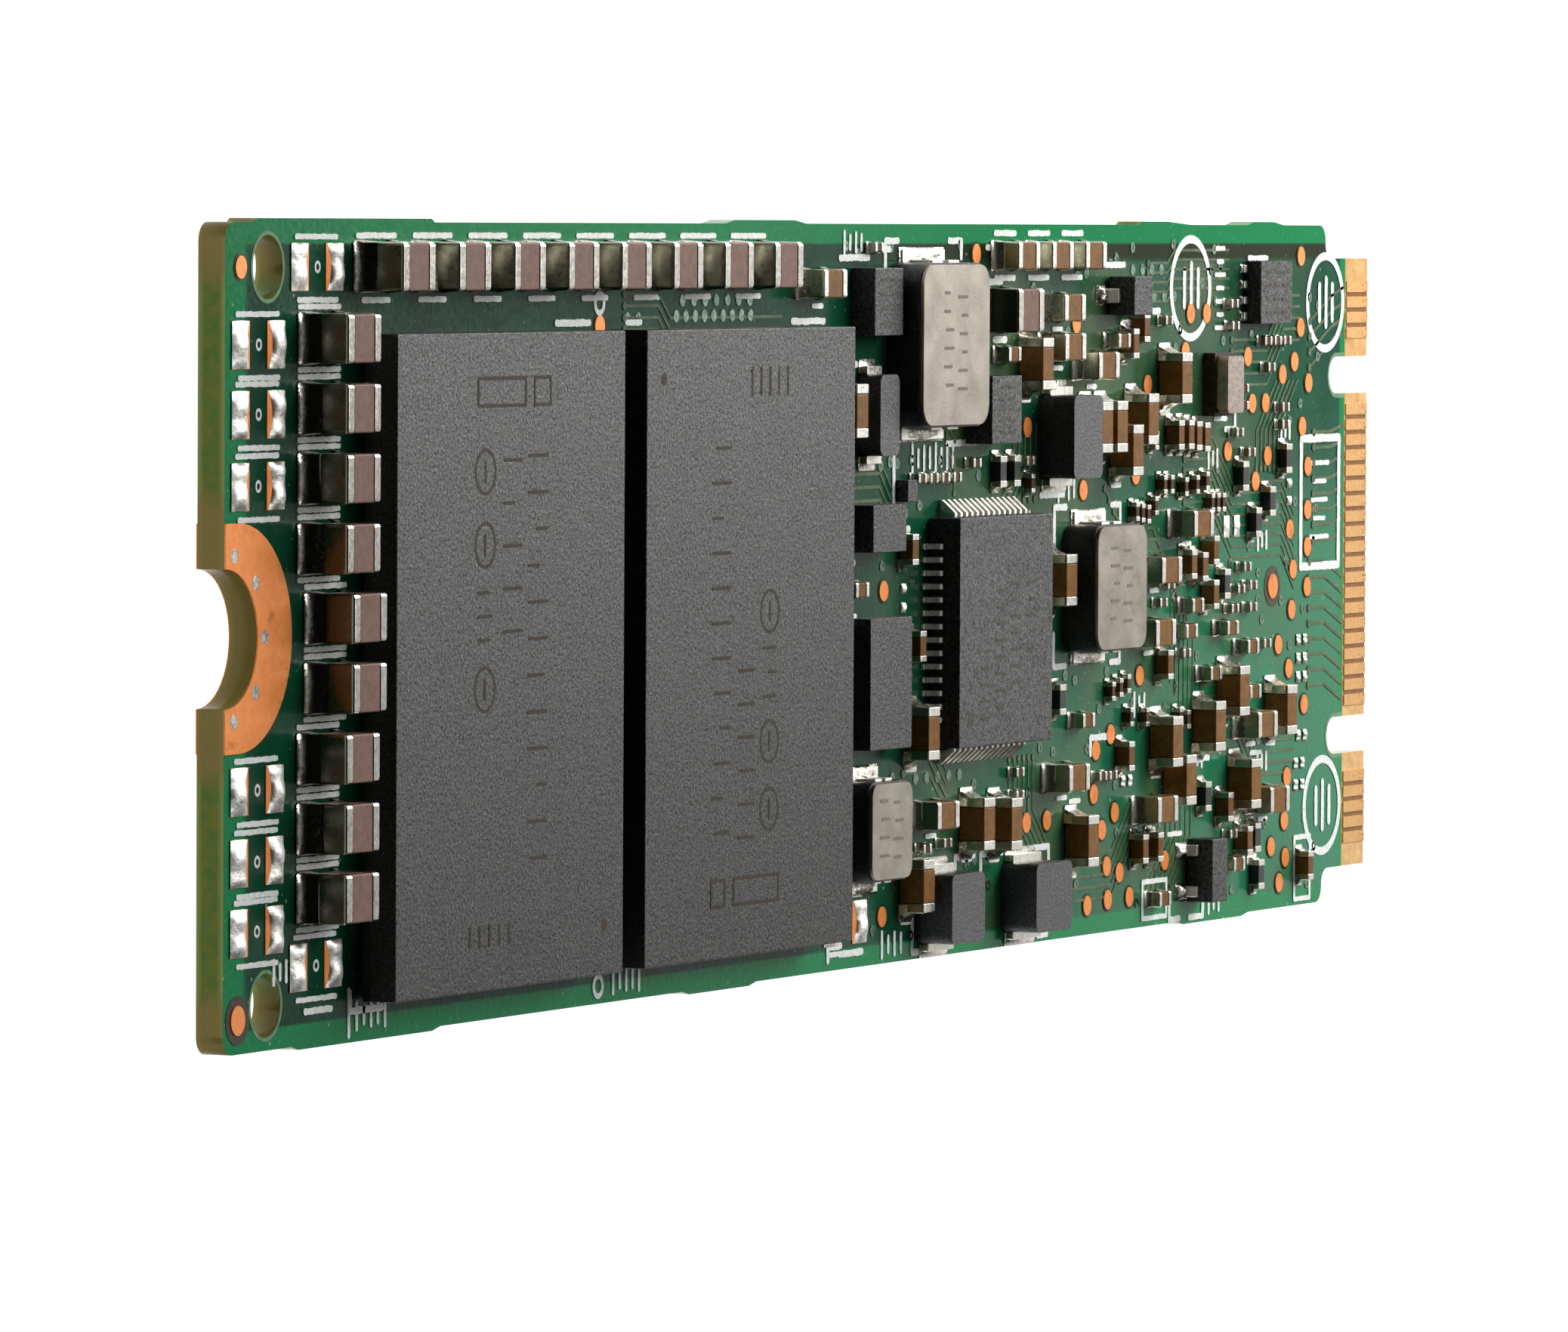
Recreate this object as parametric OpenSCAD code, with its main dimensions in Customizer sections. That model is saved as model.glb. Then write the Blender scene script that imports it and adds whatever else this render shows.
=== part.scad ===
// Solid state drive on a 22 x 80 mm card with an edge connector.
// The card lies flat: +Z is its component face, +X runs from the screw notch to the contacts.
// The origin is the centre of the half-round screw notch, on the card's underside.

/* [Board] */
// Length of the board, from the screw edge to the contact edge
board_len = 80; // [80:1:110]
// Width of the board
board_w = 22; // [22:0.5:30]
// Thickness of the board
board_t = 0.8; // [0.6:0.1:1.2]
// Radius of the half-round screw notch
notch_r = 1.85; // [1.5:0.05:2.2]
// Radius of the round end of the copper pad at the screw notch
mount_pad_r = 3.05; // [2.75:0.05:3.5]
// Diameter of the two tooling holes
tooling_hole_d = 1.7; // [1.2:0.1:1.8]
// Distance between the two tooling holes
tooling_hole_gap = 19.6; // [19:0.1:19.8]
// Distance from the screw edge to the tooling holes
tooling_hole_x = 2.4; // [2:0.1:2.6]
// Height of the small break-away nubs on the long edges
nub_h = 0.1; // [0.05:0.05:0.2]

/* [Edge connector] */
// Width of the tab that goes into the socket
tab_w = 19.85; // [19.7:0.05:20]
// Length of the tab
tab_len = 3.85; // [3.6:0.05:4.2]
// Width of a key notch
key_w = 1.2; // [1.1:0.05:1.3]
// Depth of a key notch
key_depth = 3.5; // [3:0.1:3.7]
// Side position of the key notch near the short group of contacts
key_high_y = 6.125; // [6.1:0.025:6.15]
// Side position of the other key notch
key_low_y = -5.625; // [-5.65:0.025:-5.6]
// Distance between neighbouring contacts
contact_pitch = 0.5; // [0.45:0.01:0.5]
// Width of a contact
contact_w = 0.36; // [0.3:0.01:0.4]
// Length of a contact
contact_len = 1.8; // [1.5:0.1:2]

/* [Memory packages] */
// Length of a flash memory package along the board
flash_len = 14; // [12:0.5:14]
// Width of a flash memory package across the board
flash_w = 18; // [16:0.5:18]
// Thickness of a package's moulded cap
cap_h = 0.8; // [0.6:0.1:1]
// Thickness of a package's substrate
substrate_h = 0.2; // [0.1:0.05:0.3]
// Height of the solder balls under a package
ball_h = 0.3; // [0.2:0.05:0.4]
// Diameter of a solder ball
ball_d = 0.45; // [0.3:0.05:0.5]
// Side of the square controller package
controller_side = 14; // [12:0.5:14]

/* [Power parts] */
// Side of the power chip's body
power_chip_side = 6.9; // [6.5:0.1:7]
// Number of leads on each side of the power chip
power_chip_leads = 14; // [8:1:14]
// Pitch of the power chip's leads
power_lead_pitch = 0.4; // [0.35:0.01:0.4]
// Side of the large inductor
large_inductor_side = 4.9; // [4.5:0.1:4.9]
// Height of the large and middle inductors
inductor_h = 1.2; // [1:0.1:1.5]
// Side of the middle inductor
middle_inductor_side = 3.9; // [3.5:0.1:3.9]
// Side of the small inductor
small_inductor_side = 2.95; // [2.5:0.05:3]

/* [Hidden] */

// Thickness of copper features and of the solder on empty pads
copper_t = 0.04;
solder_t = 0.08;

// Corner radii of the board, its shoulders, and the fillets at the tab
corner_r = 0.5;
tab_fillet_r = 0.5;
tab_corner_r = 0.3;
shoulder_x = board_len - tab_len;

// Break-away nubs on the long edges: [first x, last x, run of the first slope, of the last]
high_edge_nubs = [
  [1.6, 12.2, 0.15, 0.2], [30.7, 36.2, 0.6, 0.8], [60.8, 65, 0.2, 1.9], [69.6, 72.6, 0.5, 0.8]
];
low_edge_nubs = [[3.9, 12.7, 0.4, 0.5], [28, 33, 0.5, 0.5], [64.2, 70, 0.5, 0.6]];

// Contact groups of each face: [first y, how many]
front_contact_groups = [[-9, 5], [-4.5, 20], [7.5, 4]];
back_contact_groups = [[-9.25, 6], [-4.25, 19], [7.25, 5]];
contact_edge_gap = 0.28;

// Angles of the filled vias in the mounting pad, and their distance from the notch centre
mount_via_angles = [-77, -40, 0, 40, 77];
mount_via_r = 2.25;
mount_via_d = 0.4;

// Centres of the flash packages, and the ball grid under each
flash_y = -1;
flash_centers_x = [14.45, 29.85];
flash_ball_rows = [-7.5, -6.5, -5.5, -4.5, 4.5, 5.5, 6.5, 7.5];
flash_ball_columns = 11;
flash_ball_pitch = 1;

// Controller and working memory on the hidden face
controller_center = [49, 0];
controller_ball_rings = 4;
working_memory_center = [63, 1];
working_memory_size = [8, 10, 0.8];

// Chip part sizes: [length, width, height, terminal length]
holdup_size = [1.9, 1.35, 1.35, 0.36];
chip_size = [1.6, 0.86, 0.85, 0.3];
small_size = [0.94, 0.48, 0.5, 0.2];
tiny_size = [0.6, 0.3, 0.3, 0.16];
resistor_size = [0.95, 0.5, 0.35, 0.2];

// Hold-up capacitors: a column beside the first flash package and a row above both
holdup_column_x = 5.45;
holdup_column_y = 7.9;
holdup_column_pitch = 1.87;
holdup_column_count = 9;
holdup_column_shift = 0.4;
holdup_row_x = 8.65;
holdup_row_y = 9.8;
holdup_row_pitch = 3.36;
holdup_row_count = 8;
holdup_single = [49.5, 8.4];

// Chip capacitors on the component face: [x, y, turn]
chip_places = [
  [36.45, 9.25, 0], [50.45, 10.05, 0], [53, 10.05, 0], [55.55, 10.05, 0],
  [53.95, 8.45, 0], [54, 7.25, 0], [56.6, 6.65, 0], [51.95, 6.75, 90], [38.4, 5.5, 90],
  [56.55, 4.75, 90], [57.7, 4.75, 90], [58.95, 4, 90], [60.15, 4.95, 90], [62.8, 6.2, 90],
  [53.85, 0.1, 90], [43.65, -4.2, 90], [44.7, -6.7, 0], [43.35, -8.75, 90],
  [47.75, -7.1, 90], [49.8, -7.2, 90], [54.5, -6, 0], [55.65, -8, 90],
  [64.2, 1.6, 0], [61.65, 0.2, 0], [61.2, -1.75, 0],
  [62.25, -5.2, 90], [63.35, -6.45, 90], [65.7, -4.85, 90], [67.65, -3.8, 90],
  [69.55, -4.95, 0], [71.6, -4.55, 90], [68.65, -6.8, 90], [61.45, -7.3, 0], [70.6, -7.4, 0]
];

// Small capacitors on the component face: [x, y, turn]
small_places = [
  [50.2, 7.05, 0], [39.2, 0.2, 0], [43, 1.3, 90], [43.6, -1.6, 90], [56, -4.3, 0],
  [63.2, 4.4, 90], [64, 4.4, 90], [64.65, 4.35, 90], [65.3, 4.3, 90],
  [60.4, 7.8, 90], [58.6, 7.4, 0], [59.55, 7.3, 90],
  [64.3, 0.3, 90], [65.2, 0.2, 90], [66.1, 0.7, 90], [66.1, -0.7, 90],
  [64.6, -1, 0], [64.1, -1.8, 0], [67.45, -1.8, 0], [69.15, -2.45, 0], [66.1, -3.2, 0],
  [69.35, -3.9, 0], [62.45, -2.8, 90], [59.4, -5.55, 90], [60.55, -8.5, 90],
  [61.75, -8.5, 90], [67.4, -7.5, 90], [69, -8.65, 90], [68.1, -9.35, 0],
  [62.1, -10.15, 0], [74.1, -9.7, 90]
];

// Tiny capacitors on the component face: [x, y, turn]
tiny_places = [
  [43.9, 3.4, 0], [44.75, 3.4, 0], [45.6, 3.4, 0], [46.45, 3.4, 0], [47.9, 3.8, 0],
  [51.9, 3.8, 0], [52.1, 3.1, 90], [40.7, 10.3, 0],
  [51.25, -5.7, 0], [51.25, -6.4, 0], [45.9, -7.6, 0], [44.4, -7.7, 0], [57.6, -6.1, 0],
  [62.4, 2.85, 90], [62.95, 2.85, 90], [64.1, 2.75, 90], [65, 2.8, 90], [65.8, 2.9, 90],
  [66.25, 2.2, 90], [66.7, 2.2, 90], [67.15, 2.2, 90], [61.7, 4.25, 90], [61.7, 2.2, 90],
  [60.2, 2.05, 90], [60.65, 2, 90], [61.1, 1.95, 90],
  [67.9, 8.5, 0], [68, 7.8, 0], [62.6, 8, 0], [70.7, 7.3, 0], [71.5, 7.3, 0], [72.3, 7.3, 0],
  [71, 6.45, 0], [68.8, 5.8, 0], [68.8, 5.25, 0], [72.2, 5.15, 0], [72.2, 4.6, 0],
  [69.4, 3.75, 0], [68.4, 4.4, 0], [62.3, -0.85, 0], [62.9, -0.3, 0], [64.2, -2.5, 0],
  [70.8, -2.4, 0], [69.1, 0.1, 0], [68.6, -0.6, 0], [69.6, -0.5, 0], [68.1, -1.2, 0],
  [69.6, -1.2, 0], [58.4, -3.5, 90], [59, -3.4, 90], [59.6, -3.3, 90], [59.85, -4.35, 90],
  [61.1, -4.4, 90], [63.8, -4.5, 90], [64.4, -4.6, 90], [58.4, -6.1, 0], [68.1, -8.4, 0]
];

// Resistors on the component face: [x, y, turn]
resistor_places = [
  [49.75, 3.5, 90], [50.8, 3.5, 90], [72.4, 3.5, 90], [68.8, 3, 90], [71.05, 2.15, 90],
  [69.9, 1.5, 90], [67.35, -0.4, 90], [65.9, -7.1, 90], [70, -8.6, 90], [70.3, -9.8, 90],
  [54.35, -3.6, 90]
];

// Chips without leads: [x, y, length, width, height]
load_switch_box = [40.4, 8.7, 2, 2, 0.75];
regulator_box = [40.7, -2.6, 2.95, 3.9, 0.75];
sense_box = [40.55, 2, 2.35, 1.4, 0.75];
gate_driver_box = [48.7, 5.4, 2.2, 2.05, 0.9];
logic_box = [42.95, 3.05, 0.7, 0.65, 0.4];
serial_memory_box = [70.6, 8.85, 2.6, 2, 0.6];

// Power chip, inductors and ferrite inductors
power_chip_center = [48.4, -1.25];
large_inductor_center = [44.3, 7.4];
middle_inductor_center = [56.9, -0.2];
small_inductor_center = [40.3, -6.95];
small_inductor_h = 1;
lid_t = 0.12;
ferrite_boxes = [
  [54.2, 4.5, 2.2, 2.55, 1.2], [45.4, -9.5, 2.4, 2.1, 1.2],
  [51.8, -9.5, 2.7, 2.1, 1.2], [40.4, 5.35, 1.35, 2.4, 0.8]
];

// Transistors and oscillator
transistor_places = [[59, 8.8, 1.45, 1.2], [65.4, -9.4, 1.2, 2]];
transistor_h = 0.95;
oscillator_center = [66.8, 5.95];

// Copper test points of the component face: [x, y]
test_point_d = 0.62;
test_points = [
  [48.3, 10.1], [52.2, 4.8], [41.7, 0.1], [22.4, 8.1], [55.9, 7.95], [64.9, 8.2],
  [66.2, 8.2], [64.5, 7], [69.6, 6.8], [61.5, 6], [70, 5.3], [71.1, 5.3], [74, 10],
  [74, 7.7], [73.5, 6.6], [72.5, 6.2], [74.7, 5.9], [74.2, 4.5], [68, 3.8], [71.3, 3.6],
  [74.7, 3.2], [70.3, 2.8], [60.6, 3.2], [56.5, 2.8], [74.7, 1.8], [73.2, 1.2],
  [74.7, 0.6], [73.5, -0.1], [74.7, -0.7], [73.4, -1.4], [72.3, -2.5], [73.2, -3.3],
  [74.5, -4.5], [61, -3.1], [58.75, -4.85], [57.6, -5.3], [57.45, -6.65], [59.1, -7.3],
  [53.85, -7.3], [52.3, -7.3], [58.1, -7.8], [58.5, -8.95], [59.5, -9.2], [57, -10.1],
  [58.6, -10], [60.3, -10], [63.1, -9], [73.1, -6.8], [72.9, -8.2], [71.8, -9],
  [73, -9.4], [72.5, -10.2], [41.7, -9.6]
];

// Fiducials of the component face: [x, y, diameter]
fiducial_places = [[0.85, 9.8, 0.62], [0.8, -10.1, 0.8], [71.8, -0.6, 0.8]];

// Empty solder-covered pad pairs: [x, y] of each pair's centre
spare_pair_places = [
  [1.85, 7.75], [1.85, 5.9], [1.85, 4], [1.85, -4.05], [1.85, -5.95], [1.85, -7.8],
  [5.2, 9.8], [5.25, -8.9], [39.1, -9.65]
];
spare_pad_size = [1, 1.28];
spare_pad_gap = 2;
medium_spare_place = [68.35, 1.4];
medium_spare_pad = [0.45, 0.7];
medium_spare_gap = 0.85;

// Small empty pad pairs: [x, y, turn]
small_spare_places = [
  [74.25, -2.4, 0], [74.25, -3, 0], [74.25, -3.6, 0], [74.3, -5.5, 0], [74.1, -6.4, 0],
  [74.1, -7.1, 0], [60, -6.35, 0], [43.1, -0.15, 90], [73.1, 2.4, 90]
];
small_spare_pad = [0.3, 0.36];
small_spare_gap = 0.56;

// Plated vias in rows: [first x, y, how many, pitch]
via_d = 0.36;
via_rows = [
  [24.2, 8.3, 2, 0.7], [27.4, 8.35, 9, 0.62], [27.8, 8.8, 7, 0.75],
  [56, 9.45, 1, 1], [60.3, 9.6, 4, 0.75], [62, 8.75, 3, 0.8], [44.1, -5.6, 5, 0.8],
  [38.2, -4.9, 2, 0.7], [68.6, -10.2, 1, 1], [74.6, -8.2, 1, 1], [72.1, 2, 1, 1]
];

// Parts of the hidden face: [x, y, turn]
back_capacitor_places = [
  [39.2, 7, 90], [39.2, 4.8, 90], [39.2, 2.6, 90], [39.2, -2.6, 90], [39.2, -4.8, 90],
  [39.2, -7, 90], [43.5, 8.6, 0], [46, 8.6, 0], [48.5, 8.6, 0], [51, 8.6, 0], [53.5, 8.6, 0],
  [43.5, -8.6, 0], [46, -8.6, 0], [48.5, -8.6, 0], [51, -8.6, 0], [53.5, -8.6, 0],
  [70, 5.5, 90], [71.5, 5.5, 90], [70, -5.5, 90], [71.5, -5.5, 90], [60.5, -8.4, 0],
  [63, -8.4, 0], [65.5, -8.4, 0]
];
back_resistor_places = [
  [57.4, 6, 90], [57.4, 4.4, 90], [57.4, -4.4, 90], [57.4, -6, 90], [60.2, 9, 0],
  [61.8, 9, 0], [63.4, 9, 0], [65, 9, 0], [69, 2.5, 90], [70.2, 2.5, 90], [71.4, 2.5, 90],
  [69, -2, 90], [70.2, -2, 90], [71.4, -2, 90]
];
back_regulator_box = [63, -6.2, 3, 1.8, 0.8];
back_test_points = [
  [73.5, 8.4], [73.5, 6.4], [73.5, 4.4], [73.5, -3.4], [73.5, -5.4], [73.5, -7.4],
  [67.9, -8.6], [70, 8.8], [57.4, 9.2], [57.4, -9.2], [40.9, 9.6], [40.9, -9.6]
];

// ---- Shared shapes ----

module rounded_rect(length, width, r) {
  for (sx = [-1, 1], sy = [-1, 1])
    translate([sx * (length / 2 - r), sy * (width / 2 - r)])
      circle(r = r, $fn = 32);
  square([length - 2 * r, width], center = true);
  square([length, width - 2 * r], center = true);
}

// A box with its centre at x, y and its foot on the component face
module front_box(box, lift = 0) {
  translate([box[0] - box[2] / 2, box[1] - box[3] / 2, board_t + lift])
    cube([box[2], box[3], box[4] - lift]);
}

// The children turned over from the component face to the hidden face
module on_back() {
  translate([0, 0, board_t]) mirror([0, 0, 1]) children();
}

module at_place(place) {
  translate([place[0], place[1], board_t]) rotate(place[2]) children();
}

// The ceramic body of a two-terminal chip part, a little slimmer than its terminals
module chip_body(size) {
  skin = 0.02;
  translate([-size[0] / 2 + size[3], -size[1] / 2 + skin, skin])
    cube([size[0] - 2 * size[3], size[1] - 2 * skin, size[2] - 2 * skin]);
}

module chip_terminals(size) {
  for (side = [0, 1])
    mirror([side, 0, 0])
      translate([size[0] / 2 - size[3], -size[1] / 2, 0])
        cube([size[3], size[1], size[2]]);
}

module solder_ball() {
  cylinder(d = ball_d, h = ball_h, $fn = 16);
}

// ---- Board and copper ----

module key_notch(y) {
  translate([board_len - key_depth + key_w / 2, y]) {
    circle(d = key_w, $fn = 32);
    translate([0, -key_w / 2]) square([key_depth, key_w]);
  }
}

// The inner corner between the shoulder and the tab, filled with a fillet
module tab_fillet() {
  difference() {
    translate([-0.1, -0.1]) square([tab_fillet_r + 0.1, tab_fillet_r + 0.1]);
    translate([tab_fillet_r, tab_fillet_r]) circle(r = tab_fillet_r, $fn = 32);
  }
}

module tab_outline() {
  overlap = 2;
  translate([shoulder_x + (tab_len - overlap) / 2, 0])
    rounded_rect(tab_len + overlap, tab_w, tab_corner_r);
  for (side = [0, 1])
    mirror([0, side]) translate([shoulder_x, tab_w / 2]) tab_fillet();
}

// One nub with sloped ends, standing on the long edge at +Y
module edge_nub(nub) {
  depth = 0.5;
  foot = board_w / 2 - depth;
  edge = board_w / 2;
  polygon([
    [nub[0], foot], [nub[1], foot], [nub[1], edge], [nub[1] - nub[3], edge + nub_h],
    [nub[0] + nub[2], edge + nub_h], [nub[0], edge]
  ]);
}

module edge_nubs() {
  for (nub = high_edge_nubs) edge_nub(nub);
  for (nub = low_edge_nubs) mirror([0, 1]) edge_nub(nub);
}

module board_outline() {
  difference() {
    union() {
      translate([shoulder_x / 2, 0]) rounded_rect(shoulder_x, board_w, corner_r);
      tab_outline();
      edge_nubs();
    }
    circle(r = notch_r, $fn = 64);
    for (side = [-1, 1])
      translate([tooling_hole_x, side * tooling_hole_gap / 2])
        circle(d = tooling_hole_d, $fn = 48);
    key_notch(key_high_y);
    key_notch(key_low_y);
  }
}

// The slope on both edges of the tab's end that leads it into the socket
module lead_in() {
  depth = 0.15;
  run = 0.25;
  for (side = [0, 1])
    translate([board_len, board_w, side * board_t])
      mirror([0, 0, side])
        rotate([90, 0, 0])
          linear_extrude(2 * board_w)
            polygon([[-run, 0], [0.1, -0.1], [0.1, depth], [0, depth]]);
}

module circuit_board() {
  color("#2f6b45")
    difference() {
      linear_extrude(board_t) board_outline();
      lead_in();
    }
}

module mount_via_plan() {
  for (angle = mount_via_angles)
    rotate(angle) translate([mount_via_r, 0]) circle(d = mount_via_d, $fn = 24);
}

module mount_pad() {
  straight = 0.75;
  linear_extrude(copper_t)
    difference() {
      union() {
        translate([0, -mount_pad_r]) square([straight, 2 * mount_pad_r]);
        intersection() {
          translate([straight, 0]) circle(r = mount_pad_r, $fn = 64);
          translate([0, -mount_pad_r]) square([2 * mount_pad_r, 2 * mount_pad_r]);
        }
      }
      circle(r = notch_r, $fn = 64);
      mount_via_plan();
    }
}

module mount_pad_front() {
  color("#d9793a") translate([0, 0, board_t]) mount_pad();
}

module mount_pad_back() {
  color("#d9793a") on_back() translate([0, 0, board_t]) mount_pad();
}

module mount_pad_vias() {
  color("#c9c9c4") {
    translate([0, 0, board_t]) linear_extrude(copper_t) mount_via_plan();
    on_back() translate([0, 0, board_t]) linear_extrude(copper_t) mount_via_plan();
  }
}

module contact_row(groups) {
  for (group = groups, i = [0 : group[1] - 1])
    translate([board_len - contact_edge_gap - contact_len,
               group[0] + i * contact_pitch - contact_w / 2, board_t])
      cube([contact_len, contact_w, copper_t]);
}

module edge_contacts_front() {
  color("#e8a94f") contact_row(front_contact_groups);
}

module edge_contacts_back() {
  color("#e8a94f") on_back() contact_row(back_contact_groups);
}

module test_point(place) {
  translate([place[0], place[1], board_t])
    cylinder(d = test_point_d, h = copper_t, $fn = 24);
}

module test_points_front() {
  color("#e8935a") for (place = test_points) test_point(place);
}

module test_points_back() {
  color("#e8935a") on_back() for (place = back_test_points) test_point(place);
}

module fiducials() {
  color("#e8935a")
    for (place = fiducial_places)
      translate([place[0], place[1], board_t])
        cylinder(d = place[2], h = copper_t, $fn = 24);
}

module pad_pair(gap, size) {
  for (side = [-1, 1])
    translate([side * gap / 2, 0, solder_t / 2])
      cube([size[0], size[1], solder_t], center = true);
}

module spare_pads() {
  color("#c9c9c4") {
    for (place = spare_pair_places)
      translate([place[0], place[1], board_t]) pad_pair(spare_pad_gap, spare_pad_size);
    translate([medium_spare_place[0], medium_spare_place[1], board_t])
      pad_pair(medium_spare_gap, medium_spare_pad);
    for (place = small_spare_places)
      translate([place[0], place[1], board_t]) rotate(place[2])
        pad_pair(small_spare_gap, small_spare_pad);
  }
}

module plated_vias() {
  ring_t = 0.02;
  color("#9fb8a0")
    for (row = via_rows, i = [0 : row[2] - 1])
      translate([row[0] + i * row[3], row[1], board_t])
        cylinder(d = via_d, h = ring_t, $fn = 16);
}

// ---- Ball grid packages ----

module package_cap(length, width) {
  translate([-length / 2, -width / 2, board_t + ball_h + substrate_h])
    cube([length, width, cap_h]);
}

module package_substrate(length, width) {
  translate([-length / 2, -width / 2, board_t + ball_h])
    cube([length, width, substrate_h]);
}

module flash_cap(i) {
  translate([flash_centers_x[i], flash_y, 0]) package_cap(flash_len, flash_w);
}

module flash_package_1() {
  color("#4c4c4e") flash_cap(0);
}

module flash_package_2() {
  color("#4c4c4e") flash_cap(1);
}

module flash_package_3() {
  color("#4c4c4e") on_back() flash_cap(0);
}

module flash_package_4() {
  color("#4c4c4e") on_back() flash_cap(1);
}

module flash_substrate_pair() {
  for (x = flash_centers_x)
    translate([x, flash_y, 0]) package_substrate(flash_len, flash_w);
}

module flash_substrates() {
  color("#1d3324") {
    flash_substrate_pair();
    on_back() flash_substrate_pair();
  }
}

module flash_ball_set() {
  half = (flash_ball_columns - 1) / 2;
  for (x = flash_centers_x, column = [-half : half], row = flash_ball_rows)
    translate([x + column * flash_ball_pitch, flash_y + row, board_t]) solder_ball();
}

module flash_balls_front() {
  color("#c9c9c4") flash_ball_set();
}

module flash_balls_back() {
  color("#c9c9c4") on_back() flash_ball_set();
}

module controller_package() {
  color("#3c3c3e")
    on_back()
      translate(controller_center) package_cap(controller_side, controller_side);
}

module controller_substrate() {
  color("#1d3324")
    on_back()
      translate(controller_center) package_substrate(controller_side, controller_side);
}

module controller_balls() {
  pitch = 0.8;
  last = floor((controller_side - 1.5) / pitch / 2);
  color("#c9c9c4")
    on_back()
      for (i = [-last : last], j = [-last : last])
        if (max(abs(i), abs(j)) > last - controller_ball_rings)
          translate([controller_center[0] + i * pitch, controller_center[1] + j * pitch,
                     board_t])
            solder_ball();
}

module working_memory_package() {
  color("#3c3c3e")
    on_back()
      translate([working_memory_center[0] - working_memory_size[0] / 2,
                 working_memory_center[1] - working_memory_size[1] / 2, board_t + ball_h])
        cube(working_memory_size);
}

module working_memory_balls() {
  pitch = 0.8;
  color("#c9c9c4")
    on_back()
      for (x = [-3.2, -2.4, -1.6, 1.6, 2.4, 3.2], row = [-5 : 5])
        translate([working_memory_center[0] + x, working_memory_center[1] + row * pitch,
                   board_t])
          solder_ball();
}

// ---- Two-terminal chip parts ----

function holdup_places() = concat(
  [for (i = [0 : holdup_column_count - 1])
    [holdup_column_x + (i == 4 || i == 5 ? holdup_column_shift : 0),
     holdup_column_y - i * holdup_column_pitch, 0]],
  [for (i = [0 : holdup_row_count - 1])
    [holdup_row_x + i * holdup_row_pitch, holdup_row_y, 0]],
  [[holdup_single[0], holdup_single[1], 0]]
);

module chip_bodies(places, size) {
  for (place = places) at_place(place) chip_body(size);
}

module chip_terminal_sets(places, size) {
  for (place = places) at_place(place) chip_terminals(size);
}

module holdup_capacitor_bodies() {
  color("#7d6464") chip_bodies(holdup_places(), holdup_size);
}

module holdup_capacitor_terminals() {
  color("#c9c9c4") chip_terminal_sets(holdup_places(), holdup_size);
}

module chip_capacitor_bodies() {
  color("#b58a5c") chip_bodies(chip_places, chip_size);
}

module chip_capacitor_terminals() {
  color("#c9c9c4") chip_terminal_sets(chip_places, chip_size);
}

module small_capacitor_bodies() {
  color("#8a6440") chip_bodies(small_places, small_size);
}

module small_capacitor_terminals() {
  color("#c9c9c4") chip_terminal_sets(small_places, small_size);
}

module tiny_capacitor_bodies() {
  color("#6e5238") chip_bodies(tiny_places, tiny_size);
}

module tiny_capacitor_terminals() {
  color("#c9c9c4") chip_terminal_sets(tiny_places, tiny_size);
}

module resistor_bodies() {
  color("#1c1c1e") chip_bodies(resistor_places, resistor_size);
}

module resistor_terminals() {
  color("#c9c9c4") chip_terminal_sets(resistor_places, resistor_size);
}

module back_capacitor_bodies() {
  color("#b58a5c") on_back() chip_bodies(back_capacitor_places, chip_size);
}

module back_capacitor_terminals() {
  color("#c9c9c4") on_back() chip_terminal_sets(back_capacitor_places, chip_size);
}

module back_resistor_bodies() {
  color("#1c1c1e") on_back() chip_bodies(back_resistor_places, resistor_size);
}

module back_resistor_terminals() {
  color("#c9c9c4") on_back() chip_terminal_sets(back_resistor_places, resistor_size);
}

// ---- Power chip ----

power_body_lift = 0.06;
power_body_h = 1;
lead_reach = 0.52;
lead_t = 0.12;
lead_w = 0.18;
lead_top = 0.52;

module gull_lead() {
  translate([0, lead_w / 2, 0])
    rotate([90, 0, 0])
      linear_extrude(lead_w)
        polygon([
          [0, lead_top], [0.14, lead_top], [0.26, lead_t], [lead_reach, lead_t],
          [lead_reach, 0], [0.16, 0], [0.04, lead_top - lead_t], [0, lead_top - lead_t]
        ]);
}

module power_chip_body() {
  color("#4c4c4e")
    translate([power_chip_center[0] - power_chip_side / 2,
               power_chip_center[1] - power_chip_side / 2, board_t + power_body_lift])
      cube([power_chip_side, power_chip_side, power_body_h]);
}

module power_chip_lead_set() {
  first = -(power_chip_leads - 1) / 2 * power_lead_pitch;
  color("#c9c9c4")
    translate([power_chip_center[0], power_chip_center[1], board_t])
      for (turn = [0, 90, 180, 270], i = [0 : power_chip_leads - 1])
        rotate(turn)
          translate([power_chip_side / 2, first + i * power_lead_pitch, 0]) gull_lead();
}

// ---- Inductors ----

module inductor_core(center, side, h) {
  translate([center[0], center[1], board_t])
    linear_extrude(h - lid_t) rounded_rect(side, side, side * 0.14);
}

module inductor_lid(center, side, h) {
  rim = 0.06;
  translate([center[0], center[1], board_t + h - lid_t])
    linear_extrude(lid_t) rounded_rect(side - 2 * rim, side - 2 * rim, side * 0.13);
}

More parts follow.
